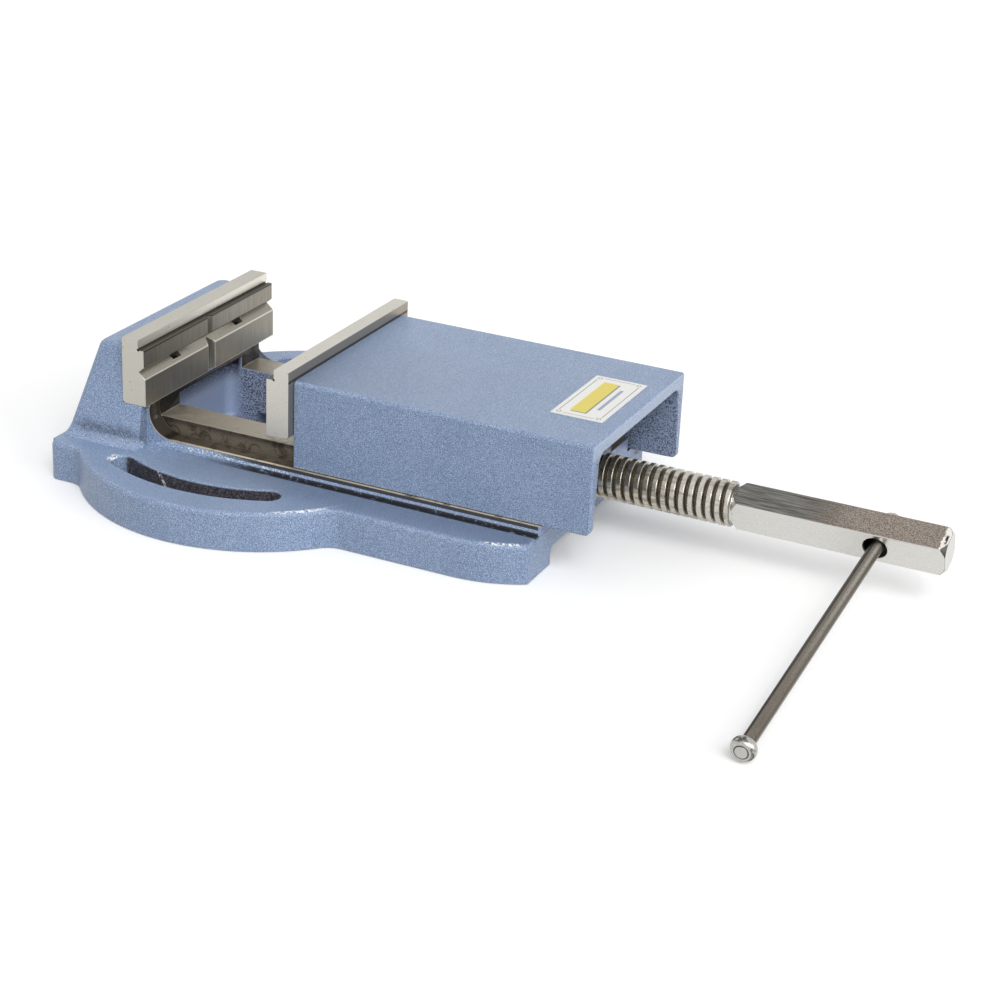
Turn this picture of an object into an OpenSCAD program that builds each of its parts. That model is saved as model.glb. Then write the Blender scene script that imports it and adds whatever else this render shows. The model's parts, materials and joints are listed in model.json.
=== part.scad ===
// Drill press vise: base, slide, screw and tommy bar, as separate pieces.
// Millimetres. X runs from the fixed jaw to the handle, with X = 0 at the fixed jaw's clamping face.
// Y = 0 is the middle plane and Z = 0 is the underside of the base.

/* [Jaws] */
// Width of both jaw plates
jaw_w = 135; // [110:1:150]
// Height of both jaw plates
jaw_h = 37.7; // [34:0.1:44]
// Thickness of the fixed jaw plate
fixed_jaw_t = 14.7; // [12:0.1:18]
// Thickness of the moving jaw plate
moving_jaw_t = 13.3; // [11:0.1:18]
// Gap between the jaws as drawn
opening = 75.2; // [75.2:0.1:100]
// Height of the lip along the top of each plate
lip_h = 5.7; // [3:0.1:8]
// Setback of the lip behind the clamping face
lip_set = 4.4; // [2:0.1:6]
// Setback of the band between the lip and the V groove
band_set = 0.9; // [0.4:0.1:1.4]
// Height of the V groove's middle above the plate's bottom edge
vee_z = 19.5; // [15:0.1:23]
// Width of the V grooves
vee_w = 7; // [5:0.1:8]
// Depth of the V grooves
vee_d = 4.2; // [2.5:0.1:5]
// How far the plates stand above the castings
jaw_proud = 6.5; // [2:0.1:10]
// Distance of each jaw screw from the middle
jaw_screw_y = 32.5; // [26:0.5:44]

/* [Base] */
// Length of the base behind the clamping face
base_back = 50.6; // [48:0.1:60]
// Length of the base ahead of the clamping face
base_front = 233.7; // [230:0.1:250]
// Thickness of the flange
flange_h = 21.5; // [19:0.1:24]
// Half width of the flange at the screw end
strip_half = 86.7; // [84:0.1:92]
// Half width of the flange behind the pedestal
back_half = 87; // [84:0.1:92]
// Radius of the ears' outer curve
ear_r = 100; // [96:0.5:104]
// Middle of the ears, ahead of the clamping face
ear_x = 47; // [45:0.5:50]
// How far the ears reach from the middle plane
ear_reach = 124.8; // [122:0.1:128]
// Radius of the hollow curve from ear to screw end
hollow_front_r = 15; // [10:0.5:20]
// Radius of the hollow curve from ear to back
hollow_back_r = 12; // [8:0.5:15]
// Radius of the flange's corners at the screw end
corner_front_r = 70; // [60:0.5:80]
// Angle that those corners turn through
corner_front_a = 33; // [20:1:40]
// Radius of the flange's back corners
corner_back_r = 5; // [3.5:0.1:8]

/* [Bolt slots] */
// Middle of the two arc slots' circle, ahead of the clamping face
slot_x = 43.8; // [40:0.1:48]
// Width of casting between a slot and the ear's outer curve
slot_edge = 18.9; // [16:0.1:22]
// Width of the slots, for 12 mm bolts
slot_w = 13.2; // [12.5:0.1:15]
// Half angle between the round ends of a slot
slot_a = 27; // [15:1:30]

/* [Rails] */
// Half distance between the rails
rail_inner = 33.2; // [31:0.1:35]
// Half width over the rails' outer sides
rail_outer = 52.2; // [50:0.1:54]
// Step from the flange up to the machined ways
way_step = 5.5; // [4:0.1:7]
// Rise from the ways to the rails' tops
rail_rise = 8.5; // [7:0.1:12]
// Width of the way that shows outside the slide
way_show = 1.6; // [1:0.1:4]
// Radius of the cutter that milled the ways
cutter_r = 14; // [12:0.5:18]
// Where the near way reaches its full depth, ahead of the clamping face
runout_near = 13; // [8:0.5:13]
// Where the far way reaches its full depth
runout_far = 1; // [0:0.5:8]
// Depth of the channel under the rails
channel_depth = 10; // [9:0.1:12]
// Half width of the channel
channel_half = 48; // [45:0.1:49]
// Where the channel begins, ahead of the clamping face
channel_x = 10; // [6:0.1:12]
// Thickness of the floor in front of the channel
sill_h = 7; // [5:0.1:8]
// Rounding of the channel's upper corners
channel_r = 4; // [2:0.1:6]
// How far the gap between the rails runs back under the fixed jaw
gap_back = 10; // [6:0.1:13]
// Rounding of that gap's corners
gap_r = 5; // [3:0.1:8]

/* [Pedestal] */
// Height of the plates' seat above the rails
jaw_lift = 9.5; // [6:0.1:14]
// Setback of the machined seat's front behind the clamping face
seat_set = 0.5; // [0.2:0.1:2]
// Setback of the pedestal's painted front behind the seat's front
ped_front = 2; // [1:0.1:4]
// Half width of the pedestal at its top
ped_top_half = 62; // [56:0.1:65]
// Half width of the pedestal at its foot
ped_foot_half = 72; // [68:0.1:76]
// Depth of the pedestal's top behind the clamping face
ped_top_back = 33; // [30:0.1:38]
// Step between the pedestal's foot and the base's back end
foot_ledge = 0.8; // [0.4:0.1:2]
// Thickness of casting that each fixed jaw screw clamps
ped_grip = 10; // [8:0.1:12]
// Rounding of the pedestal's upper edges
ped_top_r = 3; // [2:0.1:6]
// Radius of the fillet at the pedestal's foot
ped_foot_r = 6; // [3:0.1:8]
// Rounding of the pedestal's back corners
ped_corner_r = 4; // [3.2:0.1:10]

/* [Slide] */
// Length of the slide behind the moving jaw plate
slide_l = 171.8; // [160:0.1:185]
// Half width of the slide
slide_half = 61.8; // [60.5:0.1:63]
// Thickness of the slide's side walls at their feet
slide_wall = 4.6; // [4:0.1:7]
// Draft inside the side walls
wall_draft = 4; // [2:0.5:5]
// Thickness of the slide's roof
roof_t = 7; // [5:0.1:9]
// Thickness of the slide's head behind the jaw plate
head_t = 24.5; // [22:0.1:28]
// Rounding of the slide's outer edges
slide_edge_r = 2; // [1:0.1:4]
// Rounding of the slide's inner corners
slide_inner_r = 6; // [3:0.1:8]
// Rounding of the side walls' lower corner at the screw end
slide_foot_r = 3; // [2:0.1:6]
// Gap between the slide's guides and the rails
side_clear = 0.15; // [0.1:0.01:0.3]
// Gap between the slide's walls and the ways
way_clear = 0.1; // [0.08:0.01:0.3]
// Gap between the slide's head and the rails' tops
head_clear = 0.3; // [0.2:0.01:0.6]
// Gap between the slide's tongue and the rails
tongue_clear = 0.5; // [0.3:0.01:0.8]
// Half distance between the tongue's two cheeks
cheek_inner = 19; // [18:0.1:20]
// Length of the cheeks behind the head
cheek_l = 30; // [28:0.1:32]
// Height of the cheeks above the channel
cheek_h = 26; // [22:0.1:34]

/* [Keeper strips] */
// Thickness of the keeper strips
keeper_t = 7.4; // [6.5:0.1:8.4]
// Gap between the strips and the rails' undersides
keeper_clear = 0.15; // [0.1:0.01:0.3]
// Gap between the strips and the channel's rounded corners
keeper_side = 0.5; // [0.3:0.1:2]
// Distance of a strip's ends from its screws
keeper_end = 10; // [9:0.1:12]
// Size of the keeper screws
keeper_screw_d = 6; // [5:0.1:6.2]

/* [Spindle] */
// Depth of the screw's axis below the rails' tops
spindle_drop = 1.3; // [0:0.1:2.4]
// Outer diameter of the screw's thread
thread_d = 24; // [22:0.1:25]
// Lead of the thread
pitch = 5; // [4:0.5:6]
// Depth of the thread
thread_h = 2; // [1.6:0.1:2.6]
// Width of the thread's crest
crest_w = 2.4; // [1.6:0.1:2.6]
// Length of the thread
thread_l = 193.2; // [185:0.1:200]
// Diameter of the nose that turns in the slide
nose_d = 16; // [14:0.1:17]
// Depth of the nose in the slide's head
nose_l = 11; // [9:0.1:13]
// Gap between the nose and its bore
nose_clear = 0.06; // [0.03:0.01:0.09]
// Diameter at the bottom of the retaining groove
groove_d = 11.5; // [9:0.1:12]
// Width of the plain neck at each end of the thread
neck_l = 2.4; // [2:0.1:6]
// Width of the square end across its flats
square_w = 18; // [17:0.1:20]
// Length of the square end
square_l = 113.4; // [100:0.1:120]
// Turn of the square about the screw's axis, as drawn
square_turn = 19.4; // [10:0.1:24]
// Distance of the cross hole from the square's outer end
hole_end = 36.2; // [24:0.1:45]
// Diameter of the cross hole
hole_d = 12.2; // [12:0.1:12.6]
// Chamfer around the cross hole
hole_chamfer = 0.6; // [0.3:0.1:1]
// Chamfer on the corners of the square's outer end
end_chamfer = 2.6; // [1:0.1:4]

/* [Nut and retainer] */
// Outer diameter of the nut's body
nut_d = 32; // [30:0.1:33]
// Length of the bridge that holds the nut
bridge_l = 30.7; // [26:0.1:32]
// Diameter of the bridge's boss
boss_d = 56; // [54:0.5:60]
// Diameter of the nut's flange
nut_flange_d = 52; // [50:0.5:54]
// Thickness of the nut's flange
nut_flange_t = 5; // [4:0.1:6]
// Gap between the threads
thread_clear = 0.4; // [0.35:0.01:0.5]
// Thickness of the split retainer
retainer_t = 4.6; // [4:0.1:6]
// Half height of the split retainer
retainer_half = 15; // [14.5:0.1:16]
// Play of the spindle along its axis
end_play = 0.2; // [0.1:0.01:0.3]
// Thickness of the thrust pad
pad_t = 4; // [3:0.1:5]

/* [Tommy bar] */
// Diameter of the bar
bar_d = 7; // [6.8:0.1:7.4]
// Distance of the near cap's middle from the screw's axis
bar_reach = 192; // [170:0.1:196]
// Angle of the bar below level
bar_drop = 8.2; // [7.8:0.1:9]
// Skew of the bar in its hole
bar_skew = 0.8; // [0:0.1:1.6]
// Offset of the bar in its hole, along the screw
bar_off = 1.4; // [0:0.1:1.5]
// Diameter of the end caps
cap_d = 12.8; // [12.6:0.1:13.6]
// Length of the end caps
cap_l = 6.4; // [5.6:0.1:8]
// Diameter of the riveted tenon in each cap
tenon_d = 6.2; // [5:0.1:6.4]
// Gap between the far cap and the square end
cap_gap = 0.3; // [0.2:0.1:0.8]

/* [Label] */
// Length of the blank label across the slide
label_l = 61; // [40:0.5:70]
// Width of the blank label along the slide
label_w = 29; // [20:0.5:34]
// Thickness of the label
label_t = 0.5; // [0.4:0.05:1]
// Distance of the label from the slide's screw end
label_end = 9.5; // [5:0.5:14]

/* [Fasteners] */
// Size of the jaw screws
jaw_screw_d = 8; // [6:0.5:8]
// Depth of each screw's thread in what it holds
bite = 14; // [12:0.5:15]
// Size of the screws on the nut and the retainer
small_screw_d = 4; // [3:0.1:4.2]
// Depth of the small screws' threads
small_bite = 12; // [9:0.5:13]
// Gap around each screw in its hole
screw_clear = 0.15; // [0.1:0.01:0.3]
// Thickness of the spring washers
washer_t = 2; // [1.5:0.1:2.5]

/* [Hidden] */
$fn = 64;

// Overrun of every cut past the face it opens
over = 1;
// How far one curve runs into the curve beside it
tuck = 0.05;
// Heights stacked up from the underside
way_z = flange_h + way_step;
rail_z = way_z + rail_rise;
seat_z = rail_z + jaw_lift;
cast_top = seat_z + jaw_h - jaw_proud;
axis_z = rail_z - spindle_drop;
// Widths worked out from the rails
slide_in = rail_outer + side_clear;
way_outer = slide_half + way_show;
tongue_half = rail_inner - tongue_clear;
seat_back = seat_set + ped_front;
// Lengths along the screw
slide_x = opening + moving_jaw_t;
slide_end = slide_x + slide_l;
head_x = slide_x + head_t;
nose_x = head_x - nose_l;
bridge_x = base_front - bridge_l;
groove_w = retainer_t + 2 * end_play;
thread_x = head_x - end_play + groove_w + neck_l;
square_x = thread_x + thread_l + neck_l;
square_end = square_x + square_l;
hole_x = square_end - hole_end;
root_r = thread_d / 2 - thread_h;
// Drop of the plain necks below the thread's root, all round
neck_drop = 0.4;
neck_d = 2 * (root_r - neck_drop);
flank_a = 15;
flank = thread_h * tan(flank_a);
// Slope of the pedestal's back and sides
ped_foot_back = base_back - foot_ledge;
ped_lean = (ped_foot_back - ped_top_back) / (cast_top - flange_h);
ped_flare = (ped_foot_half - ped_top_half) / (cast_top - flange_h);
// Centre line of the bolt slots
slot_r = ear_reach - slot_edge - slot_w / 2;
// Eased corner at the back of each jaw plate, and the relief in the corner under its lip
plate_ease = 1.2;
relief_r = 0.7;
// Keeper strips and their screws
keeper_z = channel_depth - keeper_clear;
keeper_y = (cheek_inner + tongue_half) / 2;
keeper_first = slide_x + head_t / 2;
keeper_last = head_x + cheek_l - keeper_end;
// Proportions of standard screws, as shares of the thread's size
socket_head = 1.62;
countersunk_head = 2;
drive_socket = 0.75;
drive_depth = 0.5;
small_socket = 0.6;
small_depth = 0.3;
washer_od = 1.8;
// Small screws around the axis
nut_screw_r = (nut_d + nut_flange_d) / 4;
retainer_y = cheek_inner - over;
retainer_screw_y = retainer_y - small_screw_d * socket_head / 2 - over;
retainer_screw_z = retainer_half - small_screw_d * socket_head / 2 - over;
// Far cap's seat, allowing for the bar's slant in the hole
bulge_share = 1.15;
cap_bulge = cap_l / 2 * bulge_share;
cap_face_r = cap_d / 2 - cap_bulge + sqrt(pow(cap_bulge, 2) - pow(cap_l / 2, 2));
slant = square_turn - bar_drop;
cap_seat = (square_w / 2 + cap_gap + cap_face_r * sin(slant)) / cos(slant);
cap_far = cap_seat + cap_l / 2;
// Colours
paint = [0.47, 0.57, 0.72];
ground = [0.74, 0.73, 0.69];
steel = [0.55, 0.54, 0.52];
dark = [0.2, 0.2, 0.21];
bronze = [0.66, 0.5, 0.28];

// Points along an arc
function arc(c, r, a0, a1, n) =
    [for (i = [0:n]) c + r * [cos(a0 + (a1 - a0) * i / n), sin(a0 + (a1 - a0) * i / n)]];

// Centres of the ear's curve and of the hollow curves on the near side
ear_c = [ear_x, ear_r - ear_reach];
function hollow_dx(half, r) = sqrt(pow(ear_r + r - tuck, 2) - pow(half + r - tuck + ear_c[1], 2));
function hollow_c(half, r, side) = [ear_x + side * hollow_dx(half, r), tuck - half - r];

// Faces listed the other way round
function turned(faces) = [for (f = faces) [for (i = [len(f) - 1:-1:0]) f[i]]];
// Solid skinned over a stack of closed loops with equal counts
module skin(loops) {
    n = len(loops[0]);
    m = len(loops);
    polyhedron(
        points = [for (ring = loops) for (p = ring) p],
        faces = turned(concat(
            [[for (i = [n - 1:-1:0]) i]],
            [for (k = [0:m - 2]) for (i = [0:n - 1])
                [k * n + i, k * n + (i + 1) % n, (k + 1) * n + (i + 1) % n]],
            [for (k = [0:m - 2]) for (i = [0:n - 1])
                [k * n + i, (k + 1) * n + (i + 1) % n, (k + 1) * n + i]],
            [[for (i = [0:n - 1]) (m - 1) * n + i]])));
}
function at_z(loop, z) = [for (p = loop) [p[0], p[1], z]];

// Rounded rectangle with true arcs at its corners
module round_rect(x0, x1, y0, y1, r) {
    translate([x0 + r, y0]) square([x1 - x0 - 2 * r, y1 - y0]);
    translate([x0, y0 + r]) square([x1 - x0, y1 - y0 - 2 * r]);
    for (x = [x0 + r, x1 - r]) for (y = [y0 + r, y1 - r]) translate([x, y]) circle(r);
}
// Flat shapes drawn as (y, z) and pulled along X, or drawn as (x, z) and pulled along Y
module along_x(x0, x1) translate([x0, 0, 0]) rotate([90, 0, 90]) linear_extrude(x1 - x0) children();
module along_y(y0, y1) translate([0, y1, 0]) rotate([90, 0, 0]) linear_extrude(y1 - y0) children();
module x_rod(x0, x1, d) translate([x0, 0, 0]) rotate([0, 90, 0]) cylinder(d = d, h = x1 - x0);
module block(x0, x1, y0, y1, z0, z1) translate([x0, y0, z0]) cube([x1 - x0, y1 - y0, z1 - z0]);
module on_both_sides() {
    children();
    mirror([0, 1, 0]) children();
}

// Screw standing on its head: the head lies below z = 0 and the shank rises to length
module socket_screw(d, length) {
    difference() {
        union() {
            cylinder(d = d, h = length);
            translate([0, 0, -d]) cylinder(d = d * socket_head, h = d);
        }
        translate([0, 0, -d - over]) cylinder(d = d * drive_socket, h = d * drive_depth + over, $fn = 6);
    }
}
module countersunk_screw(d, length) {
    difference() {
        union() {
            cylinder(d = d, h = length);
            cylinder(d1 = d * countersunk_head, d2 = d, h = d * (countersunk_head - 1) / 2);
        }
        translate([0, 0, -over]) cylinder(d = d * small_socket, h = d * small_depth + over, $fn = 6);
    }
}
module countersunk_hole(d, length) {
    gap = screw_clear;
    translate([0, 0, -over]) cylinder(d = d + 2 * gap, h = length + over);
    translate([0, 0, -over]) cylinder(d = d * countersunk_head + 2 * gap, h = over);
    cylinder(d1 = d * countersunk_head + 2 * gap, d2 = d + 2 * gap, h = d * (countersunk_head - 1) / 2);
}

// Screw thread of T turns along +X: A and D are the root corners, B and C the crest corners
module thread_solid(turns, core, height, crest, run) {
    segments = 20;
    tail = over;
    n = turns * segments;
    fade = segments / 2;
    function rise(i) = height * min(1, i / fade, (n - i) / fade);
    function spot(i, dx, r) =
        [pitch * i / segments + dx, r * cos(360 * i / segments), r * sin(360 * i / segments)];
    offsets = [0, run, run + crest, 2 * run + crest];
    tops = [0, 1, 1, 0];
    helix = [for (i = [0:n]) for (k = [0:3]) spot(i, offsets[k], core + tops[k] * rise(i))];
    function end_ring(x) =
        [for (j = [0:segments - 1]) let (a = 360 * j / segments) [x, core * cos(a), core * sin(a)]];
    first = end_ring(-tail);
    last = end_ring(pitch * turns + offsets[3] + tail);
    f0 = len(helix);
    l0 = f0 + segments;
    function v(i, k) = 4 * i + k;
    function ring(base, j) = base + (j % segments);
    end = n - segments;
    polyhedron(
        points = concat(helix, first, last),
        faces = turned(concat(
            [for (i = [0:n - 1]) for (k = [0:2]) [v(i, k), v(i + 1, k), v(i + 1, k + 1)]],
            [for (i = [0:n - 1]) for (k = [0:2]) [v(i, k), v(i + 1, k + 1), v(i, k + 1)]],
            [for (i = [0:end - 1]) [v(i, 3), v(i + 1, 3), v(i + 1 + segments, 0)]],
            [for (i = [0:end - 1]) [v(i, 3), v(i + 1 + segments, 0), v(i + segments, 0)]],
            [for (j = [0:segments - 2]) [ring(f0, j), ring(f0, j + 1), v(j + 1, 0)]],
            [for (j = [0:segments - 2]) [ring(f0, j), v(j + 1, 0), v(j, 0)]],
            [[ring(f0, segments - 1), ring(f0, 0), v(segments - 1, 0)]],
            [[ring(f0, 0), v(0, 0), v(segments - 1, 0)]],
            [for (k = [0:2]) [v(0, k), v(0, k + 1), v(segments - 1, 0)]],
            [[v(0, 3), v(segments, 0), v(segments - 1, 0)]],
            [for (j = [1:segments - 1]) [v(end + j, 3), v(end + j + 1, 3), ring(l0, j + 1)]],
            [for (j = [1:segments - 1]) [v(end + j, 3), ring(l0, j + 1), ring(l0, j)]],
            [[v(end, 3), v(end + 1, 3), v(n, 0)]],
            [for (k = [0:2]) [v(n, k), v(end + 1, 3), v(n, k + 1)]],
            [[v(n, 3), v(end + 1, 3), ring(l0, 0)]],
            [[ring(l0, 0), v(end + 1, 3), ring(l0, 1)]],
            [[for (j = [segments - 1:-1:0]) f0 + j]],
            [[for (j = [0:segments - 1]) l0 + j]])));
}

// Base
module flange() linear_extrude(flange_h) {
    ear_outline();
    mirror([0, 1]) ear_outline();
}
// One side of the base's outline: ear, strip and the hollow curves between them
module ear_outline() {
    corner_dx = corner_front_r * sin(corner_front_a);
    intersection() {
        translate([ear_x, -strip_half]) square([base_front - ear_x, strip_half]);
        union() {
            translate([ear_x, -strip_half]) square([base_front - corner_dx - ear_x, strip_half]);
            translate([base_front - corner_dx, corner_front_r - strip_half]) circle(corner_front_r);
        }
    }
    translate([corner_back_r - base_back, -back_half])
        square([base_back + ear_x - corner_back_r, back_half]);
    translate([-base_back, corner_back_r - back_half]) square([base_back, back_half - corner_back_r]);
    translate([corner_back_r - base_back, corner_back_r - back_half]) circle(corner_back_r);
    intersection() {
        translate(ear_c) circle(ear_r);
        translate([ear_x - ear_r, -ear_reach])
            square([2 * ear_r, ear_reach + over - min(strip_half, back_half)]);
    }
    hollow(strip_half, hollow_front_r, 1);
    hollow(back_half, hollow_back_r, -1);
}
module hollow(half, r, side) {
    c = hollow_c(half, r, side);
    difference() {
        polygon([ear_c, c, [c[0], over - half]]);
        translate(c) circle(r);
    }
}
// Loop around the pedestal at one height, narrowed by an inset
function ped_loop(z, inset, flare) =
    let (h = max(z, flange_h), back = ped_top_back + (cast_top - h) * ped_lean - inset,
        half = ped_top_half + (cast_top - h) * ped_flare - inset + flare, r = ped_corner_r)
    at_z(concat([[-seat_back, -half], [-seat_back, half]],
        arc([-back + r, half - r], r, 90, 180, 5), arc([-back + r, -half + r], r, 180, 270, 5)), z);
module pedestal() {
    steps = 5;
    foot = [for (k = [1:steps]) let (a = 90 * k / steps)
        ped_loop(flange_h + ped_foot_r * (1 - cos(a)), 0, ped_foot_r * (1 - sin(a)))];
    toe = ped_foot_r * (1 - sin(90 / steps));
    top = [for (k = [0:steps]) let (a = 90 * k / steps)
        ped_loop(cast_top - ped_top_r + ped_top_r * sin(a), ped_top_r * (1 - cos(a)), 0)];
    skin(concat([ped_loop(channel_depth + over, 0, toe)], foot, top));
}
module rail_stock() {
    block(-seat_back - over, base_front, -rail_outer, rail_outer, channel_depth, rail_z);
    block(-seat_back - over, base_front, -way_outer, way_outer, channel_depth, way_z);
    block(-seat_back - over, -seat_set, -way_outer, way_outer, channel_depth, seat_z);
    block(-seat_back - over, runout_near, -way_outer, -rail_outer, channel_depth, seat_z);
    intersection() {
        translate([0, 0, axis_z]) x_rod(bridge_x, base_front, boss_d);
        block(bridge_x, base_front, -boss_d, boss_d, channel_depth, cast_top);
    }
}
// Space swept by the side cutter along the far rail, mirrored for the near one
module way_cut(runout) {
    end = base_front + over;
    along_y(rail_outer, ped_foot_half + ped_foot_r + over) {
        translate([runout, way_z + cutter_r]) circle(cutter_r);
        translate([runout, way_z]) square([end - runout, cast_top]);
    }
}
module arc_slot() {
    translate([slot_x, 0, -over]) {
        rotate([0, 0, -90 - slot_a]) rotate_extrude(angle = 2 * slot_a)
            translate([slot_r - slot_w / 2, 0]) square([slot_w, flange_h + 2 * over]);
        for (a = [-90 - slot_a, -90 + slot_a])
            translate([slot_r * cos(a), slot_r * sin(a), 0])
                cylinder(d = slot_w + 2 * tuck, h = flange_h + 2 * over);
    }
}
module rail_gap() {
    translate([0, 0, sill_h]) linear_extrude(rail_z)
        round_rect(-gap_back, bridge_x, -rail_inner, rail_inner, gap_r);
    translate([0, 0, -over]) linear_extrude(rail_z)
        round_rect(channel_x, bridge_x, -rail_inner, rail_inner, gap_r);
    along_x(channel_x, base_front + over)
        round_rect(-channel_half, channel_half, -channel_depth - channel_r, channel_depth, channel_r);
}
// Places of the fixed jaw's screws: origin under the head, shank towards the plate
module at_fixed_jaw_screws() {
    shoulder = -fixed_jaw_t - ped_grip;
    for (y = [-jaw_screw_y, jaw_screw_y])
        translate([shoulder - washer_t, y, seat_z + vee_z]) rotate([0, 90, 0]) children();
}
module at_nut_screws()
    for (a = [45:90:315])
        translate([bridge_x - nut_flange_t, nut_screw_r * cos(a), axis_z + nut_screw_r * sin(a)])
            rotate([0, 90, 0]) children();
module base_casting() {
    head_d = jaw_screw_d * washer_od + 2 * over;
    color(paint) difference() {
        union() {
            flange();
            pedestal();
            rail_stock();
        }
        block(-fixed_jaw_t, runout_near + over, -strip_half, strip_half, seat_z, cast_top + over);
        way_cut(runout_far);
        mirror([0, 1, 0]) way_cut(runout_near);
        on_both_sides() arc_slot();
        rail_gap();
        at_fixed_jaw_screws() {
            cylinder(d = jaw_screw_d + 2 * screw_clear, h = washer_t + ped_grip + over);
            translate([0, 0, -ped_foot_back]) cylinder(d = head_d, h = ped_foot_back + washer_t);
        }
        translate([0, 0, axis_z]) x_rod(bridge_x - over, base_front + over, nut_d + 2 * screw_clear);
        at_nut_screws() cylinder(d = small_screw_d + 2 * screw_clear, h = nut_flange_t + small_bite + over);
    }
}

// Jaw plates, drawn as (x, z) with the clamping face at x = 0 and the back at -t
module jaw_profile(t) {
    difference() {
        polygon([[-t, plate_ease], [plate_ease - t, 0], [0, 0], [0, jaw_h - lip_h],
            [-lip_set, jaw_h - lip_h], [-lip_set, jaw_h], [-t, jaw_h]]);
        translate([-lip_set, jaw_h - lip_h]) circle(relief_r, $fn = 16);
    }
}
module fixed_jaw_plate() {
    half = jaw_w / 2;
    color(ground) difference() {
        translate([0, 0, seat_z]) along_y(-half, half) difference() {
            jaw_profile(fixed_jaw_t);
            translate([-band_set, vee_z]) square([vee_d, jaw_h]);
            polygon([[over, vee_z - vee_w / 2 - over], [-vee_d, vee_z], [over, vee_z + vee_w / 2 + over]]);
        }
        translate([0, 0, seat_z - over]) linear_extrude(jaw_h - lip_h + over)
            polygon([[over, -vee_w / 2 - over], [-vee_d, 0], [over, vee_w / 2 + over]]);
        at_fixed_jaw_screws()
            cylinder(d = jaw_screw_d + 2 * screw_clear, h = washer_t + ped_grip + fixed_jaw_t - vee_d / 2);
    }
}
module fixed_jaw_screws()
    color(dark) at_fixed_jaw_screws()
        socket_screw(jaw_screw_d, washer_t + ped_grip + fixed_jaw_t - vee_d - over);
module fixed_jaw_spring_washers()
    color(steel) at_fixed_jaw_screws() spring_washer(jaw_screw_d, washer_t);
module spring_washer(d, t) {
    gap = screw_clear;
    difference() {
        cylinder(d = d * washer_od, h = t);
        translate([0, 0, -over]) cylinder(d = d + 2 * gap, h = t + 2 * over);
        translate([0, -gap, -over]) cube([d, 2 * gap, t + 2 * over]);
    }
}
module at_moving_jaw_screws()
    for (y = [-jaw_screw_y, jaw_screw_y])
        translate([opening, y, seat_z + vee_z - lip_h]) rotate([0, 90, 0]) children();
module moving_jaw_plate() {
    half = jaw_w / 2;
    color(ground) difference() {
        translate([opening, 0, seat_z]) mirror([1, 0, 0]) along_y(-half, half) jaw_profile(moving_jaw_t);
        at_moving_jaw_screws() countersunk_hole(jaw_screw_d, moving_jaw_t + over);
    }
}
module moving_jaw_screws()
    color(dark) at_moving_jaw_screws() countersunk_screw(jaw_screw_d, moving_jaw_t + bite);

// Slide
module slide_section() {
    foot_in = slide_half - slide_wall;
    ceiling = cast_top - roof_t;
    lean = (ceiling - way_z) * tan(wall_draft);
    difference() {
        union() {
            round_rect(-slide_half, slide_half, seat_z, cast_top, slide_edge_r);
            translate([-slide_half, way_z + way_clear])
                square([2 * slide_half, cast_top - way_z - way_clear - slide_edge_r]);
        }
        hull() {
            translate([-foot_in, way_z + way_clear - over]) square([2 * foot_in, over]);
            for (side = [-1, 1])
                translate([side * (foot_in - lean - slide_inner_r), ceiling - slide_inner_r])
                    circle(slide_inner_r);
        }
    }
}
// Side view of the slide, with its foot and top edge rounded at the screw end
module slide_side() {
    bottom = way_z + way_clear;
    difference() {
        translate([slide_x, bottom]) square([slide_l, cast_top - bottom]);
        translate([slide_end - slide_foot_r, bottom]) round_corner(slide_foot_r, -1);
        translate([slide_end - slide_edge_r, cast_top]) round_corner(slide_edge_r, 1);
    }
}
// What a rounding takes off a square corner; side says whether the corner is above or below
module round_corner(r, side) {
    difference() {
        translate([0, side > 0 ? -r : -over]) square([r + over, r + over]);
        translate([0, -side * r]) circle(r);
    }
}
module slide_plan() round_rect(slide_x - slide_edge_r, slide_end, -slide_half, slide_half, slide_edge_r);
module at_keeper_screws(side)
    for (x = [keeper_first, keeper_last])
        translate([x, side * keeper_y, keeper_z - keeper_t]) children();
module at_retainer_screws()
    for (y = [-retainer_screw_y, retainer_screw_y]) for (z = [-retainer_screw_z, retainer_screw_z])
        translate([head_x + retainer_t, y, axis_z + z]) rotate([0, -90, 0]) children();
module slide_casting() {
    tongue_end = head_x + cheek_l;
    head_half = slide_half - over;
    color(paint) difference() {
        union() {
            intersection() {
                along_x(slide_x, slide_end) slide_section();
                along_y(-slide_half, slide_half) slide_side();
                linear_extrude(cast_top + over) slide_plan();
            }
            block(slide_x, head_x, -head_half, head_half, rail_z + head_clear, cast_top - over);
            on_both_sides()
                block(slide_x, tongue_end, slide_in, head_half, way_z + way_clear, seat_z);
            block(slide_x, head_x, -tongue_half, tongue_half, keeper_z, cast_top - over);
            on_both_sides()
                block(slide_x, tongue_end, cheek_inner, tongue_half, keeper_z, channel_depth + cheek_h);
        }
        at_moving_jaw_screws() cylinder(d = jaw_screw_d + 2 * screw_clear, h = moving_jaw_t + bite + over);
        translate([0, 0, axis_z]) x_rod(nose_x - pad_t, head_x + over, nose_d + 2 * nose_clear);
        at_retainer_screws()
            cylinder(d = small_screw_d + 2 * screw_clear, h = retainer_t + small_bite + over);
        for (side = [-1, 1]) at_keeper_screws(side)
            cylinder(d = keeper_screw_d + 2 * screw_clear, h = keeper_t + bite + over);
    }
}
module thrust_pad()
    color(steel) translate([0, 0, axis_z]) x_rod(nose_x - pad_t, nose_x - end_play / 2, nose_d);

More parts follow.
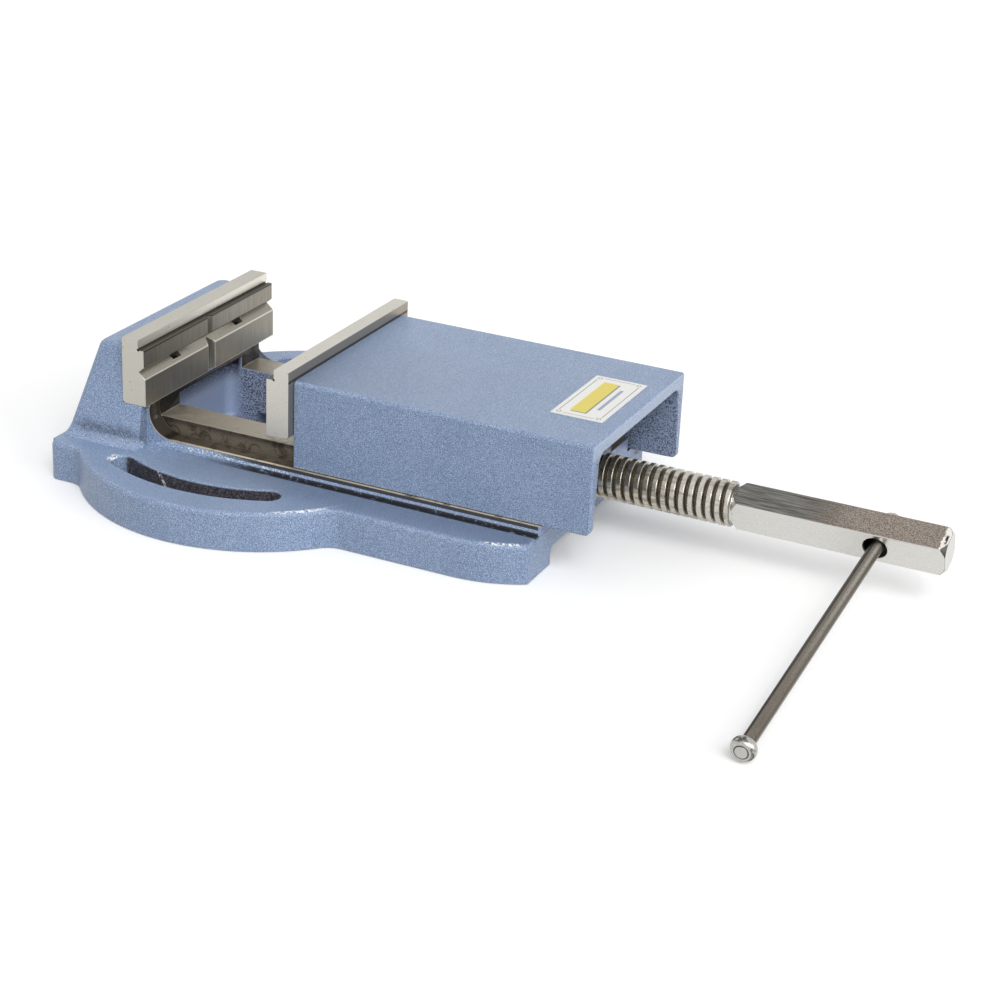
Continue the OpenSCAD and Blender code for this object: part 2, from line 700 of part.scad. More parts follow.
// Split retainer, one half on each side of the middle plane
module retainer_half(side) {
    split = end_play;
    color(steel) difference() {
        block(head_x, head_x + retainer_t, side > 0 ? split : -retainer_y, side > 0 ? retainer_y : -split,
            axis_z - retainer_half, axis_z + retainer_half);
        translate([0, 0, axis_z])
            x_rod(head_x - over, head_x + retainer_t + over, groove_d + 2 * thread_clear);
        at_retainer_screws()
            translate([0, 0, -over]) cylinder(d = small_screw_d + 2 * screw_clear, h = retainer_t + 2 * over);
    }
}
module retainer_half_near() retainer_half(-1);
module retainer_half_far() retainer_half(1);
module retainer_screws()
    color(dark) at_retainer_screws() socket_screw(small_screw_d, retainer_t + small_bite);

// Strips that run under the rails
module keeper_strip(side) {
    outer = channel_half - channel_r - keeper_side;
    color(steel) difference() {
        block(keeper_first - keeper_end, keeper_last + keeper_end, side > 0 ? cheek_inner : -outer,
            side > 0 ? outer : -cheek_inner, keeper_z - keeper_t, keeper_z);
        at_keeper_screws(side) countersunk_hole(keeper_screw_d, keeper_t + over);
    }
}
module keeper_strip_near() keeper_strip(-1);
module keeper_strip_far() keeper_strip(1);
module keeper_screws()
    color(dark) for (side = [-1, 1]) at_keeper_screws(side)
        countersunk_screw(keeper_screw_d, keeper_t + bite);

module label_plate()
    color("white") translate([slide_end - label_end - label_w, -label_l / 2, cast_top])
        cube([label_w, label_l, label_t]);

// Spindle
module square_end() {
    eased = 0.4;
    corner_r = square_w / sqrt(2) - eased;
    intersection() {
        rotate([square_turn, 0, 0]) translate([square_x, -square_w / 2, -square_w / 2])
            cube([square_l, square_w, square_w]);
        rotate([0, 90, 0]) rotate_extrude() polygon([[0, square_x], [square_w / 2, square_x],
            [corner_r, square_x + corner_r - square_w / 2], [corner_r, square_end - end_chamfer],
            [corner_r - end_chamfer, square_end], [0, square_end]]);
    }
}
module cross_hole() {
    reach = square_w;
    translate([hole_x, 0, 0]) rotate([90 + square_turn, 0, 0]) {
        translate([0, 0, -reach]) cylinder(d = hole_d, h = 2 * reach);
        for (up = [0, 180]) rotate([up, 0, 0]) translate([0, 0, square_w / 2 - hole_chamfer])
            cylinder(d1 = hole_d, d2 = hole_d + 4 * hole_chamfer, h = 2 * hole_chamfer);
    }
}
module spindle() {
    turns = floor((thread_l - 2 * over) / pitch);
    color(steel) translate([0, 0, axis_z]) difference() {
        union() {
            x_rod(nose_x, head_x - end_play, nose_d);
            x_rod(head_x - end_play - over, head_x + groove_w, groove_d);
            x_rod(head_x - end_play + groove_w, thread_x, neck_d);
            translate([thread_x, 0, 0]) thread_solid(turns, root_r, thread_h, crest_w, flank);
            x_rod(thread_x + thread_l - pitch, square_x + over, neck_d);
            square_end();
        }
        cross_hole();
    }
}

// Nut, threaded in step with the spindle
module spindle_nut() {
    before = floor((bridge_x - nut_flange_t - thread_x) / pitch) - 1;
    turns = ceil((bridge_l + nut_flange_t) / pitch) + 3;
    widen = thread_clear;
    color(bronze) translate([0, 0, axis_z]) difference() {
        union() {
            x_rod(bridge_x - nut_flange_t, bridge_x, nut_flange_d);
            x_rod(bridge_x - over, base_front - over, nut_d);
        }
        translate([thread_x + before * pitch - widen / 2, 0, 0])
            thread_solid(turns, root_r + widen, thread_h, crest_w + widen, flank);
        translate([0, 0, -axis_z]) at_nut_screws() countersunk_hole(small_screw_d, nut_flange_t + over);
    }
}
module nut_screws() color(dark) at_nut_screws() countersunk_screw(small_screw_d, nut_flange_t + small_bite);

// Tommy bar, drawn along +Z from the axis towards the near cap and then laid down
module along_bar()
    translate([hole_x + bar_off, 0, axis_z])
        rotate([0, 0, -bar_skew]) rotate([90 + bar_drop, 0, 0]) children();
module tommy_bar() {
    rivet = 0.3;
    tenon = cap_l + rivet;
    color(steel) along_bar() {
        translate([0, 0, -cap_seat]) cylinder(d = bar_d, h = bar_reach - cap_l / 2 + cap_seat);
        translate([0, 0, -cap_seat - tenon])
            cylinder(d = tenon_d, h = bar_reach + cap_far + 2 * tenon - cap_l);
    }
}
module cap() {
    press = 0.02;
    rotate_extrude() difference() {
        intersection() {
            translate([0, -cap_l / 2]) square([cap_d / 2, cap_l]);
            translate([cap_d / 2 - cap_bulge, 0]) circle(cap_bulge);
        }
        translate([0, -cap_l]) square([tenon_d / 2 + press, 2 * cap_l]);
    }
}
module tommy_cap_near() color(ground) along_bar() translate([0, 0, bar_reach]) cap();
module tommy_cap_far() color(ground) along_bar() translate([0, 0, -cap_far]) cap();

base_casting();
fixed_jaw_plate();
fixed_jaw_screws();
fixed_jaw_spring_washers();
spindle_nut();
nut_screws();
slide_casting();
moving_jaw_plate();
moving_jaw_screws();
thrust_pad();
retainer_half_near();
retainer_half_far();
retainer_screws();
keeper_strip_near();
keeper_strip_far();
keeper_screws();
label_plate();
spindle();
tommy_bar();
tommy_cap_near();
tommy_cap_far();
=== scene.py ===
"""Looks of the drill press vise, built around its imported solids."""

import json
import math

import bmesh
import bpy
from mathutils import Matrix, Vector


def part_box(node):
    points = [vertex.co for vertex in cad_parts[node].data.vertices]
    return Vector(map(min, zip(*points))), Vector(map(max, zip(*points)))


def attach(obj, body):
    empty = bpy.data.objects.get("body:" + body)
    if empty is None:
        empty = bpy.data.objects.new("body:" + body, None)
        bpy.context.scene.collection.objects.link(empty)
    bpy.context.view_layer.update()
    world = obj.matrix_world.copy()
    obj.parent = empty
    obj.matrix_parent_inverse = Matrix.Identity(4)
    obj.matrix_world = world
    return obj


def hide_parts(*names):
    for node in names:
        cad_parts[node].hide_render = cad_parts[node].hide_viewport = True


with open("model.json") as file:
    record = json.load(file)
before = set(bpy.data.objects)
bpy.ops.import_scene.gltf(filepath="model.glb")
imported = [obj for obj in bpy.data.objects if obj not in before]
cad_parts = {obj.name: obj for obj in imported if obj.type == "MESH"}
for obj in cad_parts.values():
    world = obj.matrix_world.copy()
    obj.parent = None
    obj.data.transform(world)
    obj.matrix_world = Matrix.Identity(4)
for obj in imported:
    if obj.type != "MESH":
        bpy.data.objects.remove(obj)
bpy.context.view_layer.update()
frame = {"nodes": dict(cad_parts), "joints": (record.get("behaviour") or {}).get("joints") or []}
nodes = frame["nodes"]
joints = {joint["name"]: joint for joint in frame["joints"]}
MM = 0.001


def box_mm(node):
    """Lowest and highest corner of a solid, in millimetres."""
    return tuple(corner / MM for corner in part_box(node))


# Places and sizes that the frame gives, in millimetres
BASE_LOW, BASE_HIGH = box_mm("base_casting")
PLATE_LOW, PLATE_HIGH = box_mm("fixed_jaw_plate")
SLIDE_HIGH = box_mm("slide_casting")[1]
SPINDLE_HIGH = box_mm("spindle")[1]
BASE_BACK = BASE_LOW.x
BASE_END = BASE_HIGH.x
JAW_GAP = box_mm("moving_jaw_plate")[0].x
JAW_HALF = PLATE_HIGH.y
JAW_TOP = PLATE_HIGH.z
SEAT_Z = PLATE_LOW.z
SLIDE_END = SLIDE_HIGH.x
SLIDE_HALF = SLIDE_HIGH.y
SQUARE_END = SPINDLE_HIGH.x
THREAD_R = SPINDLE_HIGH.y
HOLE_X, _, AXIS_Z = (v / MM for v in joints["spindle_spin"]["pos_m"])
BAR_AXIS = Vector(joints["tommy_slide"]["axis"])

# Jaw plates: height of the lip, and the fixed plate's V grooves
LIP_H = 5.7
VEE_Z = 64.5
VEE_W = 7.0

# Base: tops of flange, ways and rails, sides of rails and ways, and the cutter that milled the ways
FLANGE_Z = 21.5
WAY_Z = 27.0
RAIL_Z = 35.5
RAIL_IN = 33.2
RAIL_OUT = 52.2
WAY_OUT = 63.4
RUNOUT = 13.0
CUTTER_R = 14.0

# Base seen from above: arc slots, round ears, sides and round front corners
SLOT_X = 43.8
SLOT_R = 99.3
SLOT_W = 13.2
EAR_X = 47.0
EAR_R = 100.0
EAR_IN = 24.8
FLANGE_HALF = 86.7
FRONT_X = 195.6
FRONT_R = 70.0

# Bounds round the gap between the rails, a slot's length and the back of the base
GAP_BOUNDS = (-18.0, 198.5)
SLOT_REACH = 53.0
BACK_HALF = 85.0

# Screw and bar: the square end is turned round the screw's axis by an angle in degrees
THREAD_X = 120.2
ROOT_R = 10.0
PITCH = 5.0
CREST_W = 2.7
SQUARE_X = 315.8
SQUARE_W = 18.0
SQUARE_TURN = 19.4
HOLE_R = 6.1
BAR_D = 7.0

# The visible thread has rounded flanks and runs on up to the square end
THREAD_END = SQUARE_X - 0.1
FLANK = 0.5
CREST_AT = 1.74

# Roundings that the scene adds to the edges of the solids
RIM_ROUND = 2.6
SLOT_ROUND = 1.4
RAIL_EASE = 0.3
SLIDE_EASE = 0.7
PLATE_EASE = 0.25
SQUARE_EASE = 0.3
BAR_EASE = 0.2
CAP_EASE = 0.3
LABEL_EASE = 0.1

# Depth of the enamel's orange peel, and how strongly it shows
PEEL_DEPTH = 0.26
PEEL_STRENGTH = 0.85

# Mesh work: vertices nearer than MERGE are one, and so are faces that meet under FLAT degrees. Edges that
# turn by more than a SHARP angle are rounded, and those by more than a CREASE angle aren't shaded smooth.
MERGE = 0.002
FLAT = 0.4
SHARP = 30.0
SHARP_CAST = 40.0
SHARP_SQUARE = 25.0
CREASE = 40.0
CREASE_SCREW = 55.0

# Camera fitted to the photograph: angles in degrees, place in millimetres, lens in pixels of the image
CAMERA_TURN = 24.39
CAMERA_TILT = 23.89
CAMERA_ROLL = 2.66
CAMERA_PLACE = Vector((664.0, -1062.9, 523.1))
FOCAL_PX = 2354
IMAGE_PX = 1000
SENSOR = 36.0
WHITE = (1.0, 1.0, 1.0, 1.0)


# Node sockets as Python values

class Val:
    """A node socket that can be used in arithmetic."""

    def __init__(self, tree, socket):
        self.tree = tree
        self.socket = socket

    def _math(self, op, *args):
        node = self.tree.nodes.new("ShaderNodeMath")
        node.operation = op
        for slot, arg in zip(node.inputs, args):
            plug(self.tree, slot, arg)
        return Val(self.tree, node.outputs[0])

    def __add__(self, other):
        return self._math("ADD", self, other)

    def __radd__(self, other):
        return self._math("ADD", other, self)

    def __sub__(self, other):
        return self._math("SUBTRACT", self, other)

    def __rsub__(self, other):
        return self._math("SUBTRACT", other, self)

    def __mul__(self, other):
        return self._math("MULTIPLY", self, other)

    def __rmul__(self, other):
        return self._math("MULTIPLY", other, self)

    def __truediv__(self, other):
        return self._math("DIVIDE", self, other)

    def __rtruediv__(self, other):
        return self._math("DIVIDE", other, self)

    def __pow__(self, other):
        return self._math("POWER", self, other)

    def abs(self):
        return self._math("ABSOLUTE", self)

    def sqrt(self):
        return self._math("SQRT", self)

    def sin(self):
        return self._math("SINE", self)

    def cos(self):
        return self._math("COSINE", self)

    def wrap(self, length):
        return self._math("WRAP", self, length, 0.0)

    def max(self, other):
        return self._math("MAXIMUM", self, other)

    def min(self, other):
        return self._math("MINIMUM", self, other)

    def step(self, low, high):
        """0 below low, 1 above high, smooth between; low above high turns it round."""
        node = self.tree.nodes.new("ShaderNodeMapRange")
        node.interpolation_type = "SMOOTHSTEP"
        first, last = (low, high) if low < high else (high, low)
        plug(self.tree, node.inputs["Value"], self)
        node.inputs["From Min"].default_value = first
        node.inputs["From Max"].default_value = last
        node.inputs["To Min"].default_value = 0.0 if low < high else 1.0
        node.inputs["To Max"].default_value = 1.0 if low < high else 0.0
        return Val(self.tree, node.outputs["Result"])

    def band(self, low, high, soft):
        """1 between low and high, with soft edges."""
        return self.step(low - soft, low + soft) * self.step(high + soft, high - soft)


def plug(tree, slot, value):
    if isinstance(value, Val):
        tree.links.new(value.socket, slot)
    else:
        slot.default_value = value


class Tree:
    """A node tree with one way to add nodes to it."""

    def __init__(self, tree):
        self.tree = tree

    def node(self, kind, settings, **sockets):
        """Adds a node, sets its settings and then its sockets, and gives its outputs by name."""
        node = self.tree.nodes.new(kind)
        for key, value in settings.items():
            setattr(node, key, value)
        for key, value in sockets.items():
            plug(self.tree, node.inputs[key.replace("_", " ")], value)
        return {out.name: Val(self.tree, out) for out in node.outputs if out.enabled}


class Finish(Tree):
    """One procedural material, with its shader and short ways to add nodes."""

    def __init__(self, name):
        self.material = bpy.data.materials.new(name)
        self.material.use_nodes = True
        super().__init__(self.material.node_tree)
        self.shader = self.tree.nodes["Principled BSDF"]
        place = self.node("ShaderNodeTexCoord", {})["Object"]
        split = self.node("ShaderNodeSeparateXYZ", {}, Vector=place)
        # Finishes are written in millimetres too
        self.x, self.y, self.z = (split[axis] * (1 / MM) for axis in "XYZ")

    def point(self, x, y, z):
        return self.node("ShaderNodeCombineXYZ", {}, X=x, Y=y, Z=z)["Vector"]

    def mark(self, name):
        """A value that the mesh code wrote on the faces."""
        return self.node("ShaderNodeAttribute", {"attribute_name": name})["Fac"]

    def noise(self, scale, detail=2.0, rough=0.5, at=None):
        """Noise with features of about 1 / scale millimetres."""
        where = at or self.point(self.x, self.y, self.z)
        return self.node("ShaderNodeTexNoise", {}, Vector=where, Scale=scale, Detail=detail,
                         Roughness=rough)["Fac"]

    def streaks(self, x, y, z, detail=3.0, rough=0.6):
        """Noise drawn out into streaks, with its own scale along each axis."""
        return self.noise(1.0, detail, rough, self.point(self.x * x, self.y * y, self.z * z))

    def cells(self, scale, smooth):
        """Distance from the middle of cells that are about 1 / scale millimetres wide."""
        where = self.point(self.x, self.y, self.z)
        return self.node("ShaderNodeTexVoronoi", {"feature": "SMOOTH_F1"}, Vector=where, Scale=scale,
                         Smoothness=smooth)["Distance"]

    def mix(self, factor, a, b):
        """Colour a where factor is 0 and b where it is 1."""
        node = self.tree.nodes.new("ShaderNodeMix")
        node.data_type = "RGBA"
        plug(self.tree, node.inputs[0], factor)
        plug(self.tree, node.inputs[6], a if isinstance(a, Val) else (*a, 1.0))
        plug(self.tree, node.inputs[7], b if isinstance(b, Val) else (*b, 1.0))
        return Val(self.tree, node.outputs[2])

    def bump(self, height, distance, strength):
        """Normal of a surface with a height in units of distance millimetres."""
        return self.node("ShaderNodeBump", {}, Height=height, Distance=distance * MM,
                         Strength=strength)["Normal"]

    def set(self, **sockets):
        for key, value in sockets.items():
            plug(self.tree, self.shader.inputs[key.replace("_", " ")], value)
        return self.material


def srgb(r, g, b):
    """Linear colour of an sRGB colour given in 0 to 255."""
    return tuple(v / 255 / 12.92 if v <= 10 else ((v / 255 + 0.055) / 1.055) ** 2.4 for v in (r, g, b))


# Finishes

def enamel_coat(f):
    """Orange-peel enamel: colour, roughness and height of the blue castings."""
    blotch = f.noise(0.03, 3.0, 0.6)
    peel = f.noise(2.1, 2.0, 0.5)
    pits = f.cells(2.4, 0.4)
    fine = f.noise(3.3, 1.0, 0.5)
    height = peel * 0.6 + pits * 0.5 + fine * 0.55
    colour = f.mix(blotch.step(0.3, 0.7), srgb(132, 154, 187), srgb(140, 161, 193))
    # Faces that lie level are smoother and show the brush
    level = f.mark("level")
    brush = f.streaks(0.35, 0.06, 0.35)
    colour = f.mix(brush.step(0.45, 0.62) * level * 0.14, colour, srgb(164, 181, 207))
    # Dark pits and light tops of the peel
    grain = 1.0 - level * 0.2
    colour = f.mix(height.step(0.84, 0.66) * grain * 0.82, colour, srgb(60, 76, 110))
    colour = f.mix(height.step(0.88, 1.0) * grain * 0.68, colour, srgb(192, 207, 230))
    rough = 0.28 + blotch * 0.1
    return colour, rough, height


def bare_iron(f):
    """Milled and ground cast iron of the rails and ways: colour, roughness and height."""
    side = f.y.abs()
    wall = side.band(RAIL_OUT - 0.3, RAIL_OUT + 0.3, 0.05) * f.z.step(RAIL_Z - 0.1, RAIL_Z - 0.5)
    floor = side.step(RAIL_OUT + 0.2, RAIL_OUT + 0.6) * f.z.step(WAY_Z + 1.5, WAY_Z + 0.5)
    # Arcs left by the side cutter
    reach = (CUTTER_R ** 2 - (f.z - WAY_Z - CUTTER_R) ** 2.0).max(1.0).sqrt()
    swirl = ((f.x + reach) * 4.2 + f.noise(0.12) * 4.0).sin() * 0.5 + 0.5
    stain = f.noise(0.1, 4.0, 0.65).step(0.5, 0.66)
    rings = f.cells(0.085, 0.05).band(0.3, 0.38, 0.05) * f.noise(0.03).step(0.45, 0.6)
    ground = f.streaks(0.06, 2.2, 2.2)
    seat = f.x.step(2.5, 0.5) * side.step(RAIL_OUT + 0.5, RAIL_OUT)
    seat = seat * f.z.step(RAIL_Z + 0.05, RAIL_Z + 0.4)
    top = f.mix(ground, srgb(150, 143, 130), srgb(182, 175, 162))
    milled = f.mix(swirl * 0.6 + ground * 0.4, srgb(66, 60, 52), srgb(112, 105, 93))
    colour = f.mix(wall, top, milled)
    # The way beside the rail is dark, with a painted highlight as a bright line along its outer edge
    colour = f.mix(floor * 0.9, colour, srgb(62, 54, 43))
    colour = f.mix(floor * side.step(WAY_OUT - 2.2, WAY_OUT - 1.2), colour, srgb(206, 190, 164))
    # Painted shade on the milled run-out under the jaw plate, with a painted highlight along its outer edge
    run_out = side.step(RAIL_OUT + 0.2, RAIL_OUT + 0.6) * f.x.step(RUNOUT + 2.0, RUNOUT - 2.0)
    colour = f.mix(run_out * 0.9, colour, srgb(50, 44, 36))
    colour = f.mix(run_out * side.step(WAY_OUT - 0.9, WAY_OUT - 0.6), colour, srgb(206, 200, 188))
    colour = f.mix(stain * (0.12 + wall * 0.6 + floor * 0.6), colour, srgb(46, 36, 27))
    colour = f.mix(rings * wall * 0.7, colour, srgb(36, 30, 25))
    # Painted shade: the jaw's seat face under the fixed plate is near black
    colour = f.mix(seat * 0.95, colour, srgb(26, 23, 21))
    rough = 0.34 + ground * 0.14 + stain * 0.2
    height = ground * 0.3 + swirl * wall * 0.5
    return colour, rough, height


def shade_and_grime_at(f, colour, amount, tone):
    """Dark speckled patches: painted shade in corners, recesses and under parts, and grime."""
    speck = f.noise(0.8, 4.0, 0.7)
    return f.mix(amount * speck.step(0.34, 0.52), colour, tone)


def slot_shade_and_glint(f, colour):
    """Painted shade on the walls of the bolt slots, left lit at the slot's back end, with one painted
    highlight running down the near slot's wall.
    """
    lit_end = -4.5
    glint_x, glint_slope = 21.6, 0.75
    swing = ((f.x - SLOT_X) ** 2.0 + f.y ** 2.0).sqrt()
    in_slot = (swing - SLOT_R).abs().step(SLOT_W / 2 + 0.5, SLOT_W / 2 + 0.1)
    in_slot = in_slot * f.z.step(FLANGE_Z - 0.3, FLANGE_Z - 1.5)
    in_slot = in_slot * (f.x - SLOT_X).abs().step(SLOT_REACH, SLOT_REACH - 1.0)
    in_slot = in_slot * f.x.step(lit_end, lit_end + 2.5)
    # Painted shade: dark speckled walls inside the slots
    grit = f.noise(1.2, 3.0, 0.7).step(0.46, 0.62)
    colour = f.mix(in_slot * 0.94, colour, f.mix(grit, srgb(28, 23, 24), srgb(112, 104, 112)))
    # Painted highlight: a bright streak down the near slot's wall
    run = (f.x - glint_x - (FLANGE_Z - f.z) * glint_slope).abs().step(1.5, 0.6)
    run = run * f.noise(0.5, 2.0, 0.6).step(0.43, 0.5) * f.y.step(0.0, -1.0)
    return f.mix(in_slot * run, colour, srgb(232, 233, 238))


def gap_walls(f, colour):
    """Walls of the gap between the rails and of the pocket that it forms under the fixed jaw, with painted
    light, a painted highlight and painted shade.
    """
    pocket_end, net_start = 80.0, -6.0
    highlight_x, highlight_y = (-7.5, -3.5), (24.0, 31.0)
    shade_z, black_z = (25.0, 36.0), (34.5, 38.0)
    between = f.y.abs().step(RAIL_IN + 0.6, RAIL_IN + 0.2) * f.x.band(*GAP_BOUNDS, 1.0)
    in_pocket = between * f.z.step(SEAT_Z, SEAT_Z - 1.0) * f.x.step(pocket_end + 10.0, pocket_end)
    # Painted light: the pocket's walls are made lighter
    colour = f.mix(in_pocket * 0.7, colour, srgb(172, 186, 214))
    # Rough net of dark and light paint
    in_gap = between * f.z.step(RAIL_Z - 0.3, RAIL_Z - 1.0) * f.x.step(net_start, net_start + 8.0)
    net = f.noise(1.15, 2.0, 0.6)
    colour = f.mix(in_gap * net.step(0.54, 0.44) * 0.85, colour, srgb(46, 40, 60))
    colour = f.mix(in_gap * net.step(0.54, 0.62) * 0.6, colour, srgb(172, 180, 208))
    # Painted highlight: a light streak down the pocket's far corner
    corner_highlight = f.x.band(*highlight_x, 1.5) * f.y.band(*highlight_y, 2.0) * f.z.step(RAIL_Z, RAIL_Z - 6.0)
    colour = f.mix(corner_highlight * (0.25 + net.step(0.46, 0.58) * 0.75), colour, srgb(222, 232, 248))
    # Painted shade under the jaw plate: dark specks that get black towards the plate
    under_jaw = between * f.x.step(0.0, -4.0) * f.z.step(SEAT_Z, SEAT_Z - 1.0)
    colour = shade_and_grime_at(f, colour, under_jaw * f.z.step(*shade_z) * 0.8, srgb(46, 42, 60))
    return f.mix(under_jaw * f.z.step(*black_z) * 0.9, colour, srgb(18, 16, 18))


def flange_shade(f, colour):
    """Painted shade on the flange next to the ways."""
    unshaded_y, shaded_y = 100.0, 68.0
    unshaded_x, shaded_x = 0.0, 40.0
    shelf = f.z.band(FLANGE_Z - 0.5, FLANGE_Z + 0.3, 0.2)
    shelf = shelf * f.y.abs().step(unshaded_y, shaded_y) * f.x.step(unshaded_x, shaded_x)
    return f.mix(shelf * 0.5, colour, srgb(88, 98, 120))


def rim_glints(f, colour):
    """Painted glints of the lamps on the rims of the near ear, the front corner and the near slot."""
    ear_x, front_x = (103.0, 122.0), (212.0, 229.0)
    slot_x, slot_y = (-10.5, -7.0), (-92.0, -84.0)

    def along_rim(x, y, radius):
        """Inner part of a rim's rounding."""
        return ((f.x - x) ** 2.0 + (f.y - y) ** 2.0).sqrt().band(radius - RIM_ROUND, radius - 0.9, 0.5)

    ear_rim = along_rim(EAR_X, -EAR_IN, EAR_R) * f.x.band(*ear_x, 9.0)
    front_rim = along_rim(FRONT_X, FRONT_R - FLANGE_HALF, FRONT_R)
    front_rim = front_rim * f.x.band(*front_x, 4.0) * f.y.step(0.0, -10.0)
    slot_rim = f.x.band(*slot_x, 0.8) * f.y.band(*slot_y, 1.5)
    glint = ear_rim.max(front_rim).max(slot_rim) * f.z.band(FLANGE_Z - 1.6, FLANGE_Z + 0.1, 0.3)
    return f.mix(glint * f.noise(0.6, 3.0, 0.6).step(0.46, 0.54), colour, srgb(250, 251, 253))


def peel_sparkle(f, colour):
    """Painted glints on the tops of the peel along the near way's step and at the pedestal's foot."""
    step_x = (10.0, 84.0)
    foot_x, foot_y, foot_z = (-12.0, 8.0), (-70.0, -63.8), (21.4, 25.5)
    step_edge = f.y.band(-WAY_OUT - 1.6, -WAY_OUT + 0.3, 0.2)
    step_edge = step_edge * f.z.band(WAY_Z - 3.6, WAY_Z - 0.8, 0.4) * f.x.band(*step_x, 4.0)
    foot_edge = f.y.band(*foot_y, 1.0) * f.z.band(*foot_z, 0.8) * f.x.band(*foot_x, 3.0)
    sparkle = step_edge.max(foot_edge) * f.noise(0.8, 3.0, 0.6).step(0.54, 0.62)
    return f.mix(sparkle * 0.9, colour, srgb(226, 235, 246))


def pedestal_foot(f, colour):
    """Painted shade and grime in the corner where the pedestal stands on the flange."""
    foot_x, foot_y, foot_z = (-42.0, -4.0), (66.0, 80.0), (25.0, 31.0)
    foot = f.z.band(*foot_z, 4.0) * f.x.band(*foot_x, 6.0) * f.y.abs().band(*foot_y, 2.0)
    return shade_and_grime_at(f, colour, foot * 0.7, srgb(50, 46, 54))


def way_steps(f, colour):
    """Painted shade beside each way: a dark line under its edge, and ragged shade with grime in the corner
    below.
    """
    unshaded_x, dark_x = 30.0, 70.0
    side = f.y.abs()
    along = f.x.step(unshaded_x, dark_x) * f.x.step(BASE_END - 0.6, BASE_END - 1.0)
    edge_line = side.band(WAY_OUT - 0.5, WAY_OUT + 0.5, 0.1) * f.z.band(WAY_Z - 2.1, WAY_Z - 0.1, 0.2)
    corner = side.band(WAY_OUT - 0.5, WAY_OUT + 3.0, 0.4) * f.z.band(FLANGE_Z - 0.4, FLANGE_Z + 1.7, 0.3)
    ragged = f.noise(0.25, 3.0, 0.7).step(0.3, 0.45)
    return f.mix(edge_line.max(corner * ragged) * 0.96 * along, colour, srgb(20, 17, 18))


def boss_shade(f, colour):
    """Painted shade on the nut's boss, which lies in the shade of the slide."""
    boss_x, boss_y, boss_z = (214.0, 226.0), (33.0, 29.0), (32.0, 37.0)
    shaded_boss = f.x.step(*boss_x) * f.y.abs().step(*boss_y) * f.z.step(*boss_z)
    return shade_and_grime_at(f, colour, shaded_boss * 0.85, srgb(30, 27, 29))


def base_finish():
    """Blue enamel with painted shade, painted glints and some grime, and bare iron on the faces that the
    mesh marks.
    """
    f = Finish("base_finish")
    colour, rough, height = enamel_coat(f)
    layers = (slot_shade_and_glint, gap_walls, flange_shade, rim_glints, peel_sparkle, pedestal_foot, way_steps,
              boss_shade)
    for layer in layers:
        colour = layer(f, colour)
    bare = f.mark("bare")
    iron, iron_rough, iron_height = bare_iron(f)
    colour = f.mix(bare, colour, iron)
    rough = rough + (iron_rough - rough) * bare
    normal = f.bump(height * (1.0 - bare) + iron_height * bare * 0.1, PEEL_DEPTH, PEEL_STRENGTH)
    return f.set(Base_Color=colour, Roughness=rough, Metallic=bare * 0.85, Normal=normal)


def slide_finish():
    """Blue enamel, speckled inside the mouth with painted shade deep in it, painted light on the roof's end
    face, and dark speckles low on the near side.
    """
    f = Finish("slide_finish")
    colour, rough, height = enamel_coat(f)
    inner_half, roof_z, inner_x = 57.7, 69.5, 113.0
    mouth_shade_z, end_z = (58.0, 66.0), (66.0, 70.0)
    foot_x, foot_y, foot_z = (150.0, 90.0), (-60.0, -66.0), (52.0, 30.0)
    inside = f.y.abs().step(inner_half + 0.3, inner_half - 0.3) * f.z.step(roof_z + 0.3, roof_z - 0.3)
    inside = inside * f.x.step(inner_x - 1.0, inner_x + 1.0)
    net = f.noise(1.2, 2.0, 0.6)
    colour = f.mix(inside * net.step(0.5, 0.38) * 0.75, colour, srgb(54, 50, 70))
    colour = f.mix(inside * net.step(0.48, 0.6) * 0.7, colour, srgb(176, 188, 216))
    # Painted shade deep inside the mouth, under the roof
    mouth_shade = f.x.step(SLIDE_END - 3.0, SLIDE_END - 24.0) * f.z.step(*mouth_shade_z)
    colour = f.mix(inside * mouth_shade * 0.8, colour, srgb(30, 27, 34))
    # Painted light on the roof's end face
    end_face_light = f.x.step(SLIDE_END - 0.7, SLIDE_END - 0.3) * f.z.step(*end_z)
    colour = f.mix(end_face_light * 0.32, colour, srgb(212, 223, 240))
    # Dark speckles low on the near side, towards the jaw
    foot = f.z.step(*foot_z) * f.x.step(*foot_x) * f.y.step(*foot_y)
    colour = shade_and_grime_at(f, colour, foot * 0.55, srgb(58, 66, 92))
    normal = f.bump(height, PEEL_DEPTH, PEEL_STRENGTH)
    return f.set(Base_Color=colour, Roughness=rough, Normal=normal)


